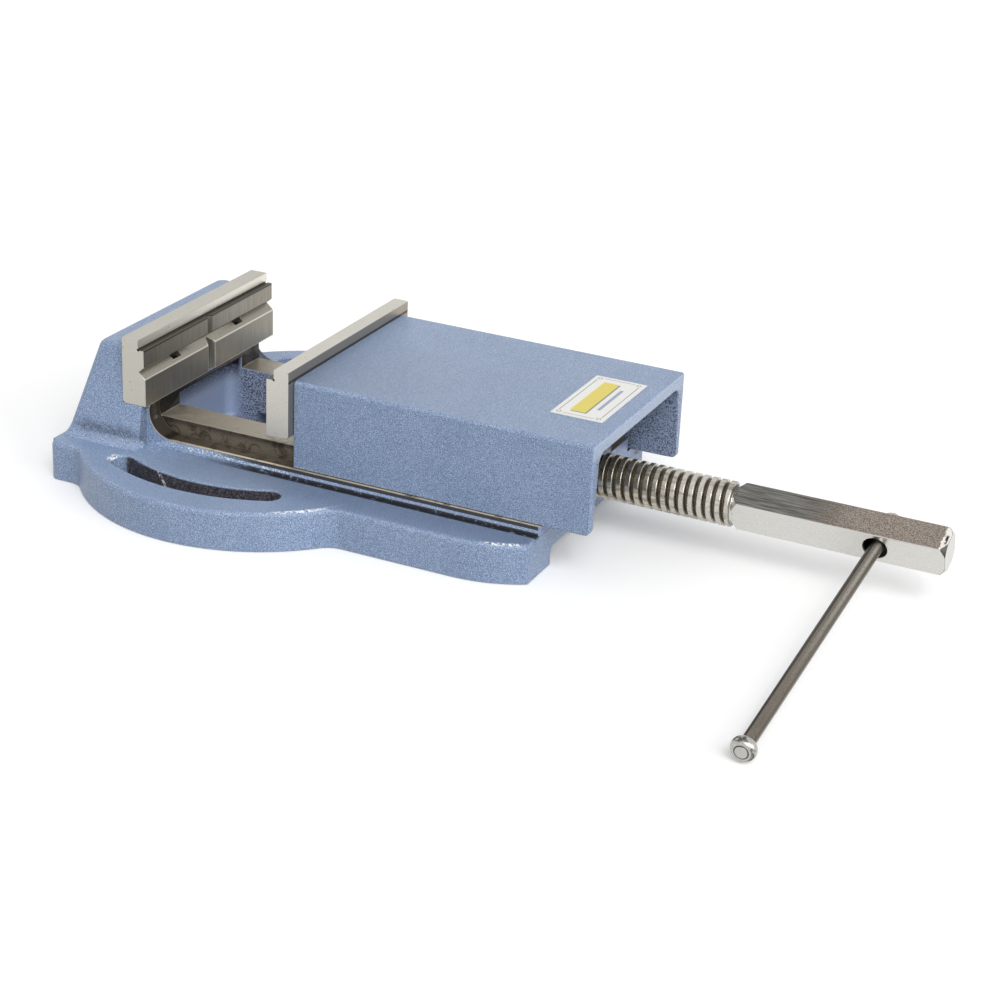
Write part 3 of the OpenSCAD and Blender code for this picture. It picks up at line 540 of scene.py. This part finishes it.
def ground_plate():
    """Surface-ground jaw plates: pale ends and tops, and faces towards the work painted darker as shade."""
    f = Finish("ground_plate")
    lines = f.streaks(3.0, 0.035, 3.0, 4.0, 0.65)
    upright = f.streaks(2.0, 2.2, 0.05)
    cloud = f.noise(0.05, 3.0, 0.6)
    speck = f.cells(0.16, 0.05).step(0.12, 0.05)
    grain = f.noise(0.9, 3.0, 0.6)
    colour = f.mix(lines * 0.4 + cloud * 0.2 + grain * 0.4, srgb(180, 176, 166), srgb(222, 219, 211))
    # The fixed plate is a little darker than the moving one
    colour = f.mix(f.x.step(20.0, 12.0) * 0.35, colour, srgb(156, 152, 142))
    # Faces towards the work and towards the slide are painted darker as shade and lighter towards the
    # bottom, with painted light on the lip's face
    lip_foot = JAW_TOP - LIP_H
    inner = f.y.abs().step(JAW_HALF - 0.1, JAW_HALF - 0.3) * f.z.step(JAW_TOP - 0.1, JAW_TOP - 0.35)
    drop = f.z.step(SEAT_Z + 26.0, SEAT_Z + 2.0)
    streaks = upright.step(0.36, 0.64)
    face = f.mix(drop * 0.3 + streaks * 0.4, srgb(124, 118, 106), srgb(180, 174, 162))
    face = f.mix(f.z.step(lip_foot + 0.3, lip_foot + 1.2) * 0.95, face, srgb(244, 239, 228))
    face = f.mix(f.x.step(JAW_GAP + 8.0, JAW_GAP + 10.0), face, srgb(150, 141, 128))
    colour = f.mix(inner * 0.85, colour, face)
    # Fixed plate: painted highlights along the edges of its V grooves
    fixed = f.x.band(-1.0, 2.0, 0.3) * inner
    vee_low = VEE_Z - VEE_W / 2
    long_edge = f.z.band(vee_low - 0.7, vee_low + 0.1, 0.15)
    foot_edge = f.z.step(SEAT_Z + 0.7, SEAT_Z + 0.4)
    short_edge = f.y.abs().band(VEE_W / 2 - 0.1, VEE_W / 2 + 0.6, 0.15) * f.z.step(VEE_Z, vee_low)
    edge = long_edge.max(foot_edge).max(short_edge)
    colour = f.mix(edge * fixed * 0.8, colour, srgb(226, 222, 212))
    # Painted shade in the crease under the lip
    under_lip = f.z.band(lip_foot - 0.9, lip_foot + 0.7, 0.2) * inner
    colour = f.mix(under_lip * 0.8, colour, srgb(38, 33, 28))
    colour = f.mix(speck * 0.4, colour, srgb(90, 78, 64))
    rough = 0.3 + lines * 0.16
    normal = f.bump(lines * (1.0 - inner) + upright * inner, 0.012, 0.6)
    return f.set(Base_Color=colour, Metallic=0.9, Roughness=rough, Normal=normal)


def square_tones(f, up, draw, rust, worn):
    """Colour of the drawn square end. Its top face is painted dark as shade, and gets lighter and rusty
    brown towards the hole.
    """
    turn = math.radians(SQUARE_TURN)
    upper = up * math.cos(turn) - f.y * math.sin(turn)
    across = f.y * math.cos(turn) + up * math.sin(turn)
    top_face = upper.step(SQUARE_W / 2 - 0.3, SQUARE_W / 2 - 0.15) * f.x.step(SQUARE_X - 0.4, SQUARE_X)
    colour = f.mix(draw, srgb(203, 202, 197), srgb(217, 216, 212))
    # Painted shade: the top face is a darker copy of the drawn steel
    drawn = f.mix(draw.step(0.38, 0.6), srgb(48, 47, 45), srgb(126, 125, 120))
    colour = f.mix(top_face * 0.92, colour, drawn)
    colour = f.mix(top_face * f.x.step(HOLE_X - 41.0, HOLE_X - 8.0) * 0.85, colour, srgb(176, 167, 157))
    colour = f.mix(top_face * rust * f.x.step(HOLE_X - 48.0, HOLE_X - 21.0) * 0.8, colour, srgb(90, 72, 60))
    # Outer end: the top face is worn bright along its edge, with a painted glint, and has dark dents;
    # painted shade lies on the bevel of the upper near corner
    chipped = f.noise(0.4, 3.0, 0.6)
    rim = top_face * (f.x + chipped * 5.0).step(SQUARE_END - 1.6, SQUARE_END - 0.6)
    colour = f.mix(rim, colour, srgb(238, 236, 232))
    dent = rim * f.x.band(SQUARE_END - 2.4, SQUARE_END - 1.0, 0.3) * across.band(-5.0, 2.0, 1.0)
    colour = f.mix(dent * worn.step(0.4, 0.48), colour, srgb(58, 53, 47))
    colour = f.mix(f.mark("corner_shade") * 0.95, colour, srgb(52, 48, 44))
    # Painted shade inside the hole for the bar
    return f.mix(f.mark("hole") * 0.9, colour, srgb(38, 34, 30)), top_face


def thread_tones(f, worn):
    """Colours of the thread's bright crests, with dark streaks of oily smears and painted reflections, and
    of its brown grooves; towards the nut the crests are oily and painted lighter against the slide's shadow.
    """
    oil_and_light = f.x.step(SLIDE_END + 32.0, SLIDE_END + 4.0)
    crest = f.mix(worn, srgb(174, 169, 158), srgb(222, 218, 209))
    # Towards the nut: an oily tone, painted lighter against the slide's shadow
    crest = f.mix(oil_and_light * 0.4, crest, srgb(200, 190, 168))
    # Dark streaks along the crests: oily smears and painted reflections of dark surroundings
    smear_and_reflection = f.streaks(0.03, 0.22, 0.22).step(0.5, 0.6)
    crest = f.mix(smear_and_reflection * 0.55, crest, srgb(112, 104, 92))
    crest = f.mix(f.noise(1.8, 3.0, 0.7).step(0.54, 0.64) * 0.45, crest, srgb(96, 88, 76))
    return crest, f.mix(oil_and_light, srgb(74, 62, 49), srgb(78, 66, 50))


def screw_steel():
    """Turned screw: bright crests, brown grooves painted dark as shade, and a drawn square end."""
    f = Finish("screw_steel")
    up = f.z - AXIS_Z
    radius = (f.y ** 2.0 + up ** 2.0).sqrt()
    on_thread = 1.0 - f.x.step(SQUARE_X - 0.4, SQUARE_X)
    groove = radius.step(ROOT_R + 1.1, ROOT_R + 0.2) * on_thread
    draw = f.streaks(0.05, 2.0, 2.0, 4.0)
    rust = f.noise(1.5, 3.0, 0.7).step(0.4, 0.6)
    worn = f.noise(0.3, 3.0, 0.6)
    colour, top_face = square_tones(f, up, draw, rust, worn)
    crest_tone, groove_tone = thread_tones(f, worn)
    colour = f.mix(on_thread, colour, crest_tone)
    # Painted shade: the thread's grooves are dark brown
    colour = f.mix(groove * 0.9, colour, groove_tone)
    rough = 0.22 + draw * 0.12 + groove * 0.25 + top_face * 0.1
    normal = f.bump(draw * 0.5 + rust * top_face * 0.6, 0.02, 0.6)
    return f.set(Base_Color=colour, Metallic=0.95, Roughness=rough, Normal=normal)


def bar_steel():
    """Drawn bar with painted highlights and painted shade in lines along it, and turned rivet ends."""
    f = Finish("bar_steel")
    rivet_l = 2.0
    across_x, across_z = -0.73, 0.68
    draw = f.streaks(2.4, 0.05, 2.4)
    cloud = f.noise(0.07, 3.0, 0.6)
    speck = f.noise(1.2, 3.0, 0.7).step(0.5, 0.66)
    low, high = box_mm("tommy_bar")
    mid = (low + high) / 2
    run = high - low
    along = (f.y - mid.y) / run.y
    # Distance across the bar, in the direction in which its painted highlights and shade lie side by side
    across = (f.z - mid.z - along * (run.z - BAR_D)) * across_z
    across = across + (f.x - mid.x - along * (run.x - BAR_D)) * across_x
    colour = f.mix(draw * 0.5 + cloud * 0.5, srgb(102, 96, 87), srgb(136, 129, 118))
    # Painted highlights and painted shade: a light line, a dark line, a light edge and a dark edge along the
    # bar
    colour = f.mix(across.band(0.0, 1.6, 0.6) * along.step(-0.4, 0.3) * 0.6, colour, srgb(188, 184, 174))
    colour = f.mix(across.band(-2.2, -0.8, 0.5) * 0.5, colour, srgb(62, 56, 49))
    colour = f.mix(across.step(-2.5, -3.0) * 0.7, colour, srgb(206, 203, 197))
    colour = f.mix(across.step(2.6, 3.0) * 0.9, colour, srgb(34, 31, 28))
    colour = f.mix(speck * 0.5, colour, srgb(70, 60, 50))
    from_end = (f.y - low.y).min(high.y - f.y)
    rivet = from_end.step(rivet_l + 0.3, rivet_l - 0.3)
    colour = f.mix(rivet, colour, f.mix(cloud, srgb(172, 172, 166), srgb(192, 192, 186)))
    normal = f.bump(draw, 0.012, 0.6)
    return f.set(Base_Color=colour, Metallic=0.95, Roughness=0.28 + cloud * 0.14, Normal=normal)


def cap_steel(node):
    """Turned cap: bright, with painted reflections as dark clouds on its round side, and a dark ring round
    the rivet.
    """
    f = Finish(node + "_steel")
    low, high = box_mm(node)
    mid = (low + high) / 2
    x, y, z = f.x - mid.x, f.y - mid.y, f.z - mid.z
    along = x * BAR_AXIS.x + y * BAR_AXIS.y + z * BAR_AXIS.z
    radius = (x ** 2.0 + y ** 2.0 + z ** 2.0 - along ** 2.0).max(0.0).sqrt()
    turned = f.noise(0.9, 3.0, 0.6)
    colour = f.mix(turned, srgb(164, 163, 157), srgb(198, 197, 191))
    # Painted reflections: dark clouds on the round side
    cloud = f.noise(0.22, 2.0, 0.5).step(0.5, 0.62) * radius.step(4.4, 5.2)
    colour = f.mix(cloud * 0.9, colour, srgb(76, 72, 65))
    colour = f.mix(radius.band(3.2, 3.7, 0.12) * 0.85, colour, srgb(46, 42, 37))
    normal = f.bump(turned, 0.015, 0.5)
    return f.set(Base_Color=colour, Metallic=0.95, Roughness=0.2 + turned * 0.12, Normal=normal)


def black_oxide():
    """Blackened screws."""
    f = Finish("black_oxide")
    haze = f.noise(0.6, 3.0, 0.6)
    colour = f.mix(haze, srgb(40, 40, 42), srgb(66, 65, 66))
    normal = f.bump(haze, 0.02, 0.4)
    return f.set(Base_Color=colour, Metallic=0.8, Roughness=0.36 + haze * 0.15, Normal=normal)


def plain_steel():
    """Milled steel of the small inner pieces."""
    f = Finish("plain_steel")
    mill = f.streaks(0.08, 2.0, 2.0)
    colour = f.mix(mill, srgb(150, 147, 140), srgb(182, 179, 172))
    normal = f.bump(mill, 0.015, 0.5)
    return f.set(Base_Color=colour, Metallic=0.95, Roughness=0.34 + mill * 0.12, Normal=normal)


def nut_bronze():
    """Machined bronze of the nut."""
    f = Finish("nut_bronze")
    cast = f.noise(0.8, 3.0, 0.6)
    colour = f.mix(cast, srgb(150, 112, 60), srgb(186, 146, 88))
    normal = f.bump(cast, 0.015, 0.5)
    return f.set(Base_Color=colour, Metallic=0.95, Roughness=0.32 + cast * 0.15, Normal=normal)


def blank_label():
    """Printed plate with a thin frame, corner rings and two plain bars of colour."""
    f = Finish("blank_label")
    frame_inset = 2.6
    ring_inset = 3.4
    bar_half, bar_half_h, bar_v = 23.0, 4.4, -2.6
    thin_half, thin_half_h, thin_v = 16.0, 0.95, 6.2
    low, high = box_mm("label_plate")
    mid = (low + high) / 2
    half = (high - low) / 2
    u = f.y - mid.y
    v = f.x - mid.x

    def bar_at(u, v, half_u, half_v, soft):
        """Bar of colour with its middle where u and v are 0."""
        return u.abs().step(half_u + 0.2, half_u - 0.2) * v.abs().step(half_v + soft, half_v - soft)

    edge = (half.x - frame_inset - v.abs()).min(half.y - frame_inset - u.abs())
    line = edge.band(-0.25, 0.25, 0.12)
    corner = ((u.abs() - half.y + ring_inset) ** 2.0 + (v.abs() - half.x + ring_inset) ** 2.0).sqrt()
    ring = corner.band(0.9, 1.4, 0.12)
    outside_ring = corner.step(2.3, 2.6)
    bar = bar_at(u, v - bar_v, bar_half, bar_half_h, 0.2)
    shade = bar_at(u + 0.9, v - bar_v - 0.9, bar_half, bar_half_h, 0.2)
    thin_bar = bar_at(u, v - thin_v, thin_half, thin_half_h, 0.15)
    paper = f.noise(0.4, 3.0, 0.6)
    colour = f.mix(paper, srgb(226, 226, 222), srgb(236, 236, 233))
    colour = f.mix(line * outside_ring * 0.85, colour, srgb(104, 102, 98))
    colour = f.mix(ring * 0.85, colour, srgb(110, 108, 104))
    colour = f.mix(shade * 0.85, colour, srgb(82, 76, 60))
    colour = f.mix(bar * 0.95, colour, srgb(226, 208, 82))
    colour = f.mix(thin_bar * 0.8, colour, srgb(120, 132, 164))
    normal = f.bump(paper, 0.01, 0.3)
    return f.set(Base_Color=colour, Roughness=0.3 + paper * 0.1, Normal=normal)


# Meshes

def piece(name, mesh, finish, body, slot, *replaced):
    """A finished mesh becomes a piece that rides on a body and stands for its solids."""
    mesh.name = name
    mesh.materials.clear()
    mesh.materials.append(finish)
    obj = bpy.data.objects.new(name, mesh)
    bpy.context.scene.collection.objects.link(obj)
    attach(obj, body)
    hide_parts(*replaced)


def solid_copy(node):
    """Merged copy of a solid's mesh, with its flat faces whole, in a bmesh."""
    bm = bmesh.new()
    bm.from_mesh(nodes[node].data)
    bmesh.ops.remove_doubles(bm, verts=bm.verts, dist=MERGE * MM)
    bmesh.ops.dissolve_degenerate(bm, edges=bm.edges, dist=MERGE * MM)
    bmesh.ops.dissolve_limit(bm, angle_limit=math.radians(FLAT), verts=bm.verts, edges=bm.edges)
    return bm


def is_sharp(edge, degrees):
    """True for an outer edge between two faces that meet at more than an angle."""
    return len(edge.link_faces) == 2 and edge.calc_face_angle_signed(0.0) > math.radians(degrees)


def ends_mm(edge):
    """Both ends of an edge, in millimetres."""
    return [v.co / MM for v in edge.verts]


def ease(bm, edges, width, segments=3):
    """Rounds edges by a width in millimetres."""
    bmesh.ops.bevel(bm, geom=list(edges), offset=width * MM, offset_type="OFFSET", segments=segments,
                    profile=0.5, affect="EDGES", clamp_overlap=False, loop_slide=True)
    bmesh.ops.remove_doubles(bm, verts=bm.verts, dist=MERGE * MM)


def plain_mesh(obj):
    """What an object's modifiers make, as a plain mesh; the object goes."""
    graph = bpy.context.evaluated_depsgraph_get()
    result = bpy.data.meshes.new_from_object(obj.evaluated_get(graph))
    bpy.data.objects.remove(obj)
    return result


def smoothed(bm, name, degrees=CREASE):
    """Mesh of a bmesh with smooth roundings between flat faces."""
    mesh = bpy.data.meshes.new(name)
    bm.to_mesh(mesh)
    bm.free()
    mesh.shade_smooth()
    mesh.set_sharp_from_angle(angle=math.radians(degrees))
    obj = bpy.data.objects.new("work", mesh)
    bpy.context.scene.collection.objects.link(obj)
    weight = obj.modifiers.new("weight", "WEIGHTED_NORMAL")
    weight.keep_sharp = True
    return plain_mesh(obj)


def eased(node, width, segments=3):
    """Copy of a solid with all its sharp edges eased."""
    bm = solid_copy(node)
    ease(bm, [e for e in bm.edges if is_sharp(e, SHARP)], width, segments)
    return smoothed(bm, node)


def mark_faces(mesh, name, test):
    """Writes 1 on the faces whose centre and normal pass a test, and 0 on the others."""
    marks = mesh.attributes.new(name, "FLOAT", "FACE")
    for face, mark in zip(mesh.polygons, marks.data):
        mark.value = 1.0 if test(face.center / MM, face.normal) else 0.0


def is_bare(at, normal):
    """True on the machined faces of the base: rail tops, rail sides, ways and the jaw's seat."""
    side = abs(at.y)
    ahead = at.x > -16.0
    rail_top = abs(at.z - RAIL_Z) < 0.35 and normal.z > 0.3 and RAIL_IN - 0.4 < side < RAIL_OUT + 0.4
    rail_side = abs(side - RAIL_OUT) < 0.3 and WAY_Z - 0.2 < at.z < SEAT_Z + 1
    way = abs(at.z - WAY_Z) < 0.35 and RAIL_OUT - 0.1 < side < WAY_OUT + 0.2 and normal.z > 0.3
    swing = math.hypot(at.x - RUNOUT, at.z - WAY_Z - CUTTER_R)
    run_out = at.y < -RAIL_OUT and side < WAY_OUT + 0.3 and at.x < RUNOUT and abs(swing - CUTTER_R) < 0.4
    seat = -1.5 < at.x < 0.5 and side < WAY_OUT and RAIL_Z < at.z < SEAT_Z + 0.5 and abs(normal.x) > 0.3
    painted_end = at.y > RAIL_OUT + 0.4 and at.x < 0
    return ahead and not painted_end and (rail_top or rail_side or way or run_out or seat)


def is_level(at, normal):
    """True on faces that lie flat and look up."""
    return normal.z > 0.95


def by_slot(edge):
    """True for an edge on the wall of a bolt slot."""
    return all(abs(math.hypot(p.x - SLOT_X, p.y) - SLOT_R) < SLOT_W / 2 + 0.2
               and abs(p.x - SLOT_X) < SLOT_REACH for p in ends_mm(edge))


def behind_jaw(edge):
    """True for an edge at the back of the base, where the pedestal rises from it."""
    return all(p.x < BASE_BACK + 0.2 and abs(p.y) < BACK_HALF for p in ends_mm(edge))


def base_mesh():
    """Base with a round rim, eased slots and slightly eased rails."""
    bm = solid_copy("base_casting")

    def sharp_at(z):
        return [e for e in bm.edges
                if is_sharp(e, SHARP_CAST) and all(abs(p.z - z) < 0.05 for p in ends_mm(e))]

    ease(bm, [e for e in sharp_at(FLANGE_Z) if not by_slot(e) and not behind_jaw(e)], RIM_ROUND, 5)
    ease(bm, [e for e in sharp_at(FLANGE_Z) if by_slot(e)], SLOT_ROUND, 4)
    ease(bm, sharp_at(RAIL_Z), RAIL_EASE, 2)
    mesh = smoothed(bm, "base")
    mark_faces(mesh, "bare", is_bare)
    mark_faces(mesh, "level", is_level)
    return mesh


def slide_mesh():
    """Slide with its outer and open-end edges eased."""
    bm = solid_copy("slide_casting")

    def outer(edge):
        return all(p.x > SLIDE_END - 8.0 or abs(p.y) > SLIDE_HALF - 1.8 for p in ends_mm(edge))

    ease(bm, [e for e in bm.edges if is_sharp(e, SHARP_CAST) and outer(e)], SLIDE_EASE)
    mesh = smoothed(bm, "slide")
    mark_faces(mesh, "level", is_level)
    return mesh


# Screw thread

def thread_rod(finish):
    """Rod with a rounded thread, swept by rows of points that follow the helix."""
    group = bpy.data.node_groups.new("thread_rod", "GeometryNodeTree")
    kit = Tree(group)
    sizes = {"Pitch": PITCH * MM, "Start": THREAD_X * MM, "Length": (THREAD_END - THREAD_X) * MM,
             "Neck": (SQUARE_X - THREAD_END + 0.2) * MM, "Root radius": ROOT_R * MM,
             "Thread height": (THREAD_R - ROOT_R) * MM, "Axis height": AXIS_Z * MM}

    def new_input(name, kind):
        return group.interface.new_socket(name=name, in_out="INPUT", socket_type=kind).identifier

    keys = {name: new_input(name, "NodeSocketFloat") for name in sizes}
    keys["Finish"] = new_input("Finish", "NodeSocketMaterial")
    group.interface.new_socket(name="Geometry", in_out="OUTPUT", socket_type="NodeSocketGeometry")
    given = kit.node("NodeGroupInput", {})
    pitch = given["Pitch"]

    # A flat grid: X counts the rows of points, a few of them to each turn, and Y goes round the rod
    per_turn, around = 18, 72
    rows = math.ceil((SQUARE_X - THREAD_X) / PITCH + 1) * per_turn + 6
    grid = kit.node("GeometryNodeMeshGrid", {}, Size_X=float(rows), Size_Y=float(around),
                    Vertices_X=rows + 1, Vertices_Y=around + 1)["Mesh"]
    place = kit.node("GeometryNodeInputPosition", {})["Position"]
    split = kit.node("ShaderNodeSeparateXYZ", {}, Vector=place)
    row = split["X"] + rows / 2
    angle = (split["Y"] + around / 2) * (math.tau / around)
    # Distance along the rod where this row starts, and where this point lies
    lead = (row - (per_turn + 2)) / per_turn * pitch
    along = lead + angle / math.tau * pitch
    whole = given["Length"] + given["Neck"]
    # The thread rises from the root round each crest, and fades at both ends of the rod
    off_crest = ((lead - CREST_AT * MM + pitch / 2).wrap(pitch) - pitch / 2).abs()
    profile = off_crest.step((CREST_W / 2 + FLANK) * MM, CREST_W / 2 * MM)
    fade = along.step(0.0, PITCH * MM / 2) * (given["Length"] - along).step(0.0, PITCH * MM / 6)
    end_rows = row.step(0.2, 0.8) * (rows - row).step(0.2, 0.8)
    radius = (given["Root radius"] + given["Thread height"] * profile * fade) * end_rows
    spot = kit.node("ShaderNodeCombineXYZ", {}, X=along.max(0.0).min(whole) + given["Start"],
                    Y=radius * angle.cos(), Z=radius * angle.sin() + given["Axis height"])["Vector"]
    shape = kit.node("GeometryNodeSetPosition", {}, Geometry=grid, Position=spot)["Geometry"]
    shape = kit.node("GeometryNodeMergeByDistance", {}, Geometry=shape, Distance=2 * MERGE * MM)["Geometry"]
    shape = kit.node("GeometryNodeFlipFaces", {}, Mesh=shape)["Mesh"]
    shape = kit.node("GeometryNodeSetShadeSmooth", {}, Geometry=shape)["Geometry"]
    shape = kit.node("GeometryNodeRealizeInstances", {}, Geometry=shape)["Geometry"]
    shape = kit.node("GeometryNodeSetMaterial", {}, Geometry=shape, Material=given["Finish"])["Geometry"]
    kit.node("NodeGroupOutput", {}, Geometry=shape)

    obj = bpy.data.objects.new("work", bpy.data.meshes.new("work"))
    bpy.context.scene.collection.objects.link(obj)
    modifier = obj.modifiers.new("thread", "NODES")
    modifier.node_group = group
    for name, size in sizes.items():
        modifier[keys[name]] = size
    modifier[keys["Finish"]] = finish
    return plain_mesh(obj)


def cut_rod(bm, x, keep):
    """Cuts a rod square at x and closes it; keep is 1 for the side of larger x, or -1."""
    everything = bm.verts[:] + bm.edges[:] + bm.faces[:]
    made = bmesh.ops.bisect_plane(bm, geom=everything, plane_co=(x * MM, 0, 0), plane_no=(keep, 0, 0),
                                  clear_inner=True)["geom_cut"]
    bmesh.ops.contextual_create(bm, geom=[g for g in made if isinstance(g, bmesh.types.BMEdge)])


def in_hole(at, normal):
    """True on the wall of the hole for the bar."""
    turn = math.radians(SQUARE_TURN)
    axis = Vector((0, math.cos(turn), math.sin(turn)))
    off = at - Vector((HOLE_X, 0, AXIS_Z))
    across = off - axis * off.dot(axis)
    return abs(across.length - HOLE_R) < 0.6 and across.normalized().dot(normal) < -0.5


def is_corner_bevel(at, normal):
    """True on the bevel of the outer end's upper near corner."""
    turn = math.radians(SQUARE_TURN)
    corner = Vector((0, -math.cos(turn) - math.sin(turn), math.cos(turn) - math.sin(turn))).normalized()
    return at.x > SQUARE_END - 4 and 0.3 < normal.x < 0.95 and normal.dot(corner) > 0.35


def screw_mesh(finish):
    """Thread, square end and nose in one mesh."""
    square = solid_copy("spindle")
    cut_rod(square, SQUARE_X + 0.05, 1)
    sharp = [e for e in square.edges if is_sharp(e, SHARP_SQUARE) and ends_mm(e)[0].x > SQUARE_X + 1]
    ease(square, sharp, SQUARE_EASE)
    nose = solid_copy("spindle")
    cut_rod(nose, THREAD_X - 0.05, -1)
    whole = bmesh.new()
    for part in (square, nose):
        mesh = bpy.data.meshes.new("part")
        part.to_mesh(mesh)
        part.free()
        whole.from_mesh(mesh)
    whole.from_mesh(thread_rod(finish))
    mesh = smoothed(whole, "screw", CREASE_SCREW)
    mark_faces(mesh, "hole", in_hole)
    mark_faces(mesh, "corner_shade", is_corner_bevel)
    return mesh


def build_castings():
    """Base and slide."""
    piece("base_cast", base_mesh(), base_finish(), "base", "painted_casting", "base_casting")
    piece("slide_cast", slide_mesh(), slide_finish(), "slide", "painted_casting", "slide_casting")


def build_steel():
    """Jaw plates, screw, bar, caps, label and the small pieces."""
    plate = ground_plate()
    for side, body in (("fixed", "base"), ("moving", "slide")):
        node = side + "_jaw_plate"
        piece(side + "_jaw", eased(node, PLATE_EASE), plate, body, "ground_steel", node)
    steel = screw_steel()
    piece("screw", screw_mesh(steel), steel, "screw", "spindle_steel", "spindle")
    piece("bar", eased("tommy_bar", BAR_EASE), bar_steel(), "handle", "bar_steel", "tommy_bar")
    for side in ("near", "far"):
        node = "tommy_cap_" + side
        piece("cap_" + side, eased(node, CAP_EASE), cap_steel(node), "handle", "cap_steel", node)
    piece("label", eased("label_plate", LABEL_EASE, 2), blank_label(), "slide", "label_white", "label_plate")
    # Solids that keep their own mesh
    dress = {
        black_oxide(): ["fixed_jaw_screws", "moving_jaw_screws", "nut_screws", "retainer_screws",
                        "keeper_screws"],
        plain_steel(): ["fixed_jaw_spring_washers", "thrust_pad", "retainer_half_near", "retainer_half_far",
                        "keeper_strip_near", "keeper_strip_far"],
        nut_bronze(): ["spindle_nut"],
    }
    for finish, names in dress.items():
        for name in names:
            for slot in nodes[name].material_slots:
                slot.material = finish


# Studio

def build_camera():
    """Camera of the photograph."""
    turn, tilt, roll = (math.radians(v) for v in (CAMERA_TURN, CAMERA_TILT, CAMERA_ROLL))
    back = Vector((math.sin(turn) * math.cos(tilt), -math.cos(turn) * math.cos(tilt), math.sin(tilt)))
    right = Vector((math.cos(turn), math.sin(turn), 0))
    up = back.cross(right)
    cam_right = right * math.cos(roll) + up * math.sin(roll)
    cam_up = up * math.cos(roll) - right * math.sin(roll)
    cam = bpy.data.cameras.new("camera")
    cam.sensor_width = SENSOR
    cam.lens = SENSOR * FOCAL_PX / IMAGE_PX
    cam.clip_start = 0.01
    cam.clip_end = 20.0
    obj = bpy.data.objects.new("camera", cam)
    bpy.context.scene.collection.objects.link(obj)
    aim = Matrix((cam_right, cam_up, back)).transposed().to_4x4()
    obj.matrix_world = Matrix.Translation(CAMERA_PLACE * MM) @ aim
    bpy.context.scene.camera = obj


def sun(name, place, power, degrees):
    """Soft lamp that shines from a place towards the vise, as wide as an angle."""
    lamp = bpy.data.lights.new(name, "SUN")
    lamp.energy = power
    lamp.angle = math.radians(degrees)
    obj = bpy.data.objects.new(name, lamp)
    bpy.context.scene.collection.objects.link(obj)
    obj.location = place
    middle = Vector((0.15, 0.0, 0.03))
    obj.rotation_euler = (middle - Vector(place)).to_track_quat("-Z", "Y").to_euler()


def white_to_eye(kit, dim, bright):
    """Shader that is bright for what the eye sees or a surface mirrors, and dim for soft light."""
    path = kit.node("ShaderNodeLightPath", {})
    seen = path["Is Camera Ray"].max(path["Is Glossy Ray"]).max(path["Is Transmission Ray"])
    mix = kit.tree.nodes.new("ShaderNodeMixShader")
    for slot, value in zip(mix.inputs, (seen, dim, bright)):
        plug(kit.tree, slot, value)
    return Val(kit.tree, mix.outputs[0])


def build_sky():
    """White world that lights the vise only softly."""
    world = bpy.data.worlds.new("studio")
    bpy.context.scene.world = world
    world.use_nodes = True
    world.node_tree.nodes.clear()
    kit = Tree(world.node_tree)
    sky = kit.node("ShaderNodeBackground", {}, Color=WHITE, Strength=0.55)["Background"]
    white = kit.node("ShaderNodeBackground", {}, Color=WHITE, Strength=1.0)["Background"]
    kit.node("ShaderNodeOutputWorld", {}, Surface=white_to_eye(kit, sky, white))


def floor_paper():
    """White paper that takes the vise's shadow and throws little light back."""
    f = Finish("floor_paper")
    f.set(Base_Color=(0.97, 0.97, 0.97, 1.0), Roughness=1.0, Specular_IOR_Level=0.0,
          Emission_Color=WHITE, Emission_Strength=0.12)
    dull = f.node("ShaderNodeBsdfDiffuse", {}, Color=(0.48, 0.48, 0.48, 1.0))["BSDF"]
    paper = Val(f.tree, f.shader.outputs["BSDF"])
    plug(f.tree, f.tree.nodes["Material Output"].inputs["Surface"], white_to_eye(f, dull, paper))
    return f.material


def build_studio():
    """Sky, floor and lamps."""
    build_sky()
    bm = bmesh.new()
    bmesh.ops.create_grid(bm, x_segments=1, y_segments=1, size=9.0)
    mesh = bpy.data.meshes.new("floor")
    bm.to_mesh(mesh)
    bm.free()
    mesh.materials.append(floor_paper())
    floor = bpy.data.objects.new("floor", mesh)
    bpy.context.scene.collection.objects.link(floor)
    floor.location.z = -0.0006
    key_place = (0.6, -0.58, 0.7)
    sun("key", key_place, 1.45, 35.0)
    sun("glint", key_place, 0.2, 4.0)
    sun("side", (1.15, -0.2, 0.38), 0.85, 40.0)
    bpy.context.scene.view_settings.view_transform = "Standard"


build_castings()
build_steel()
build_camera()
build_studio()
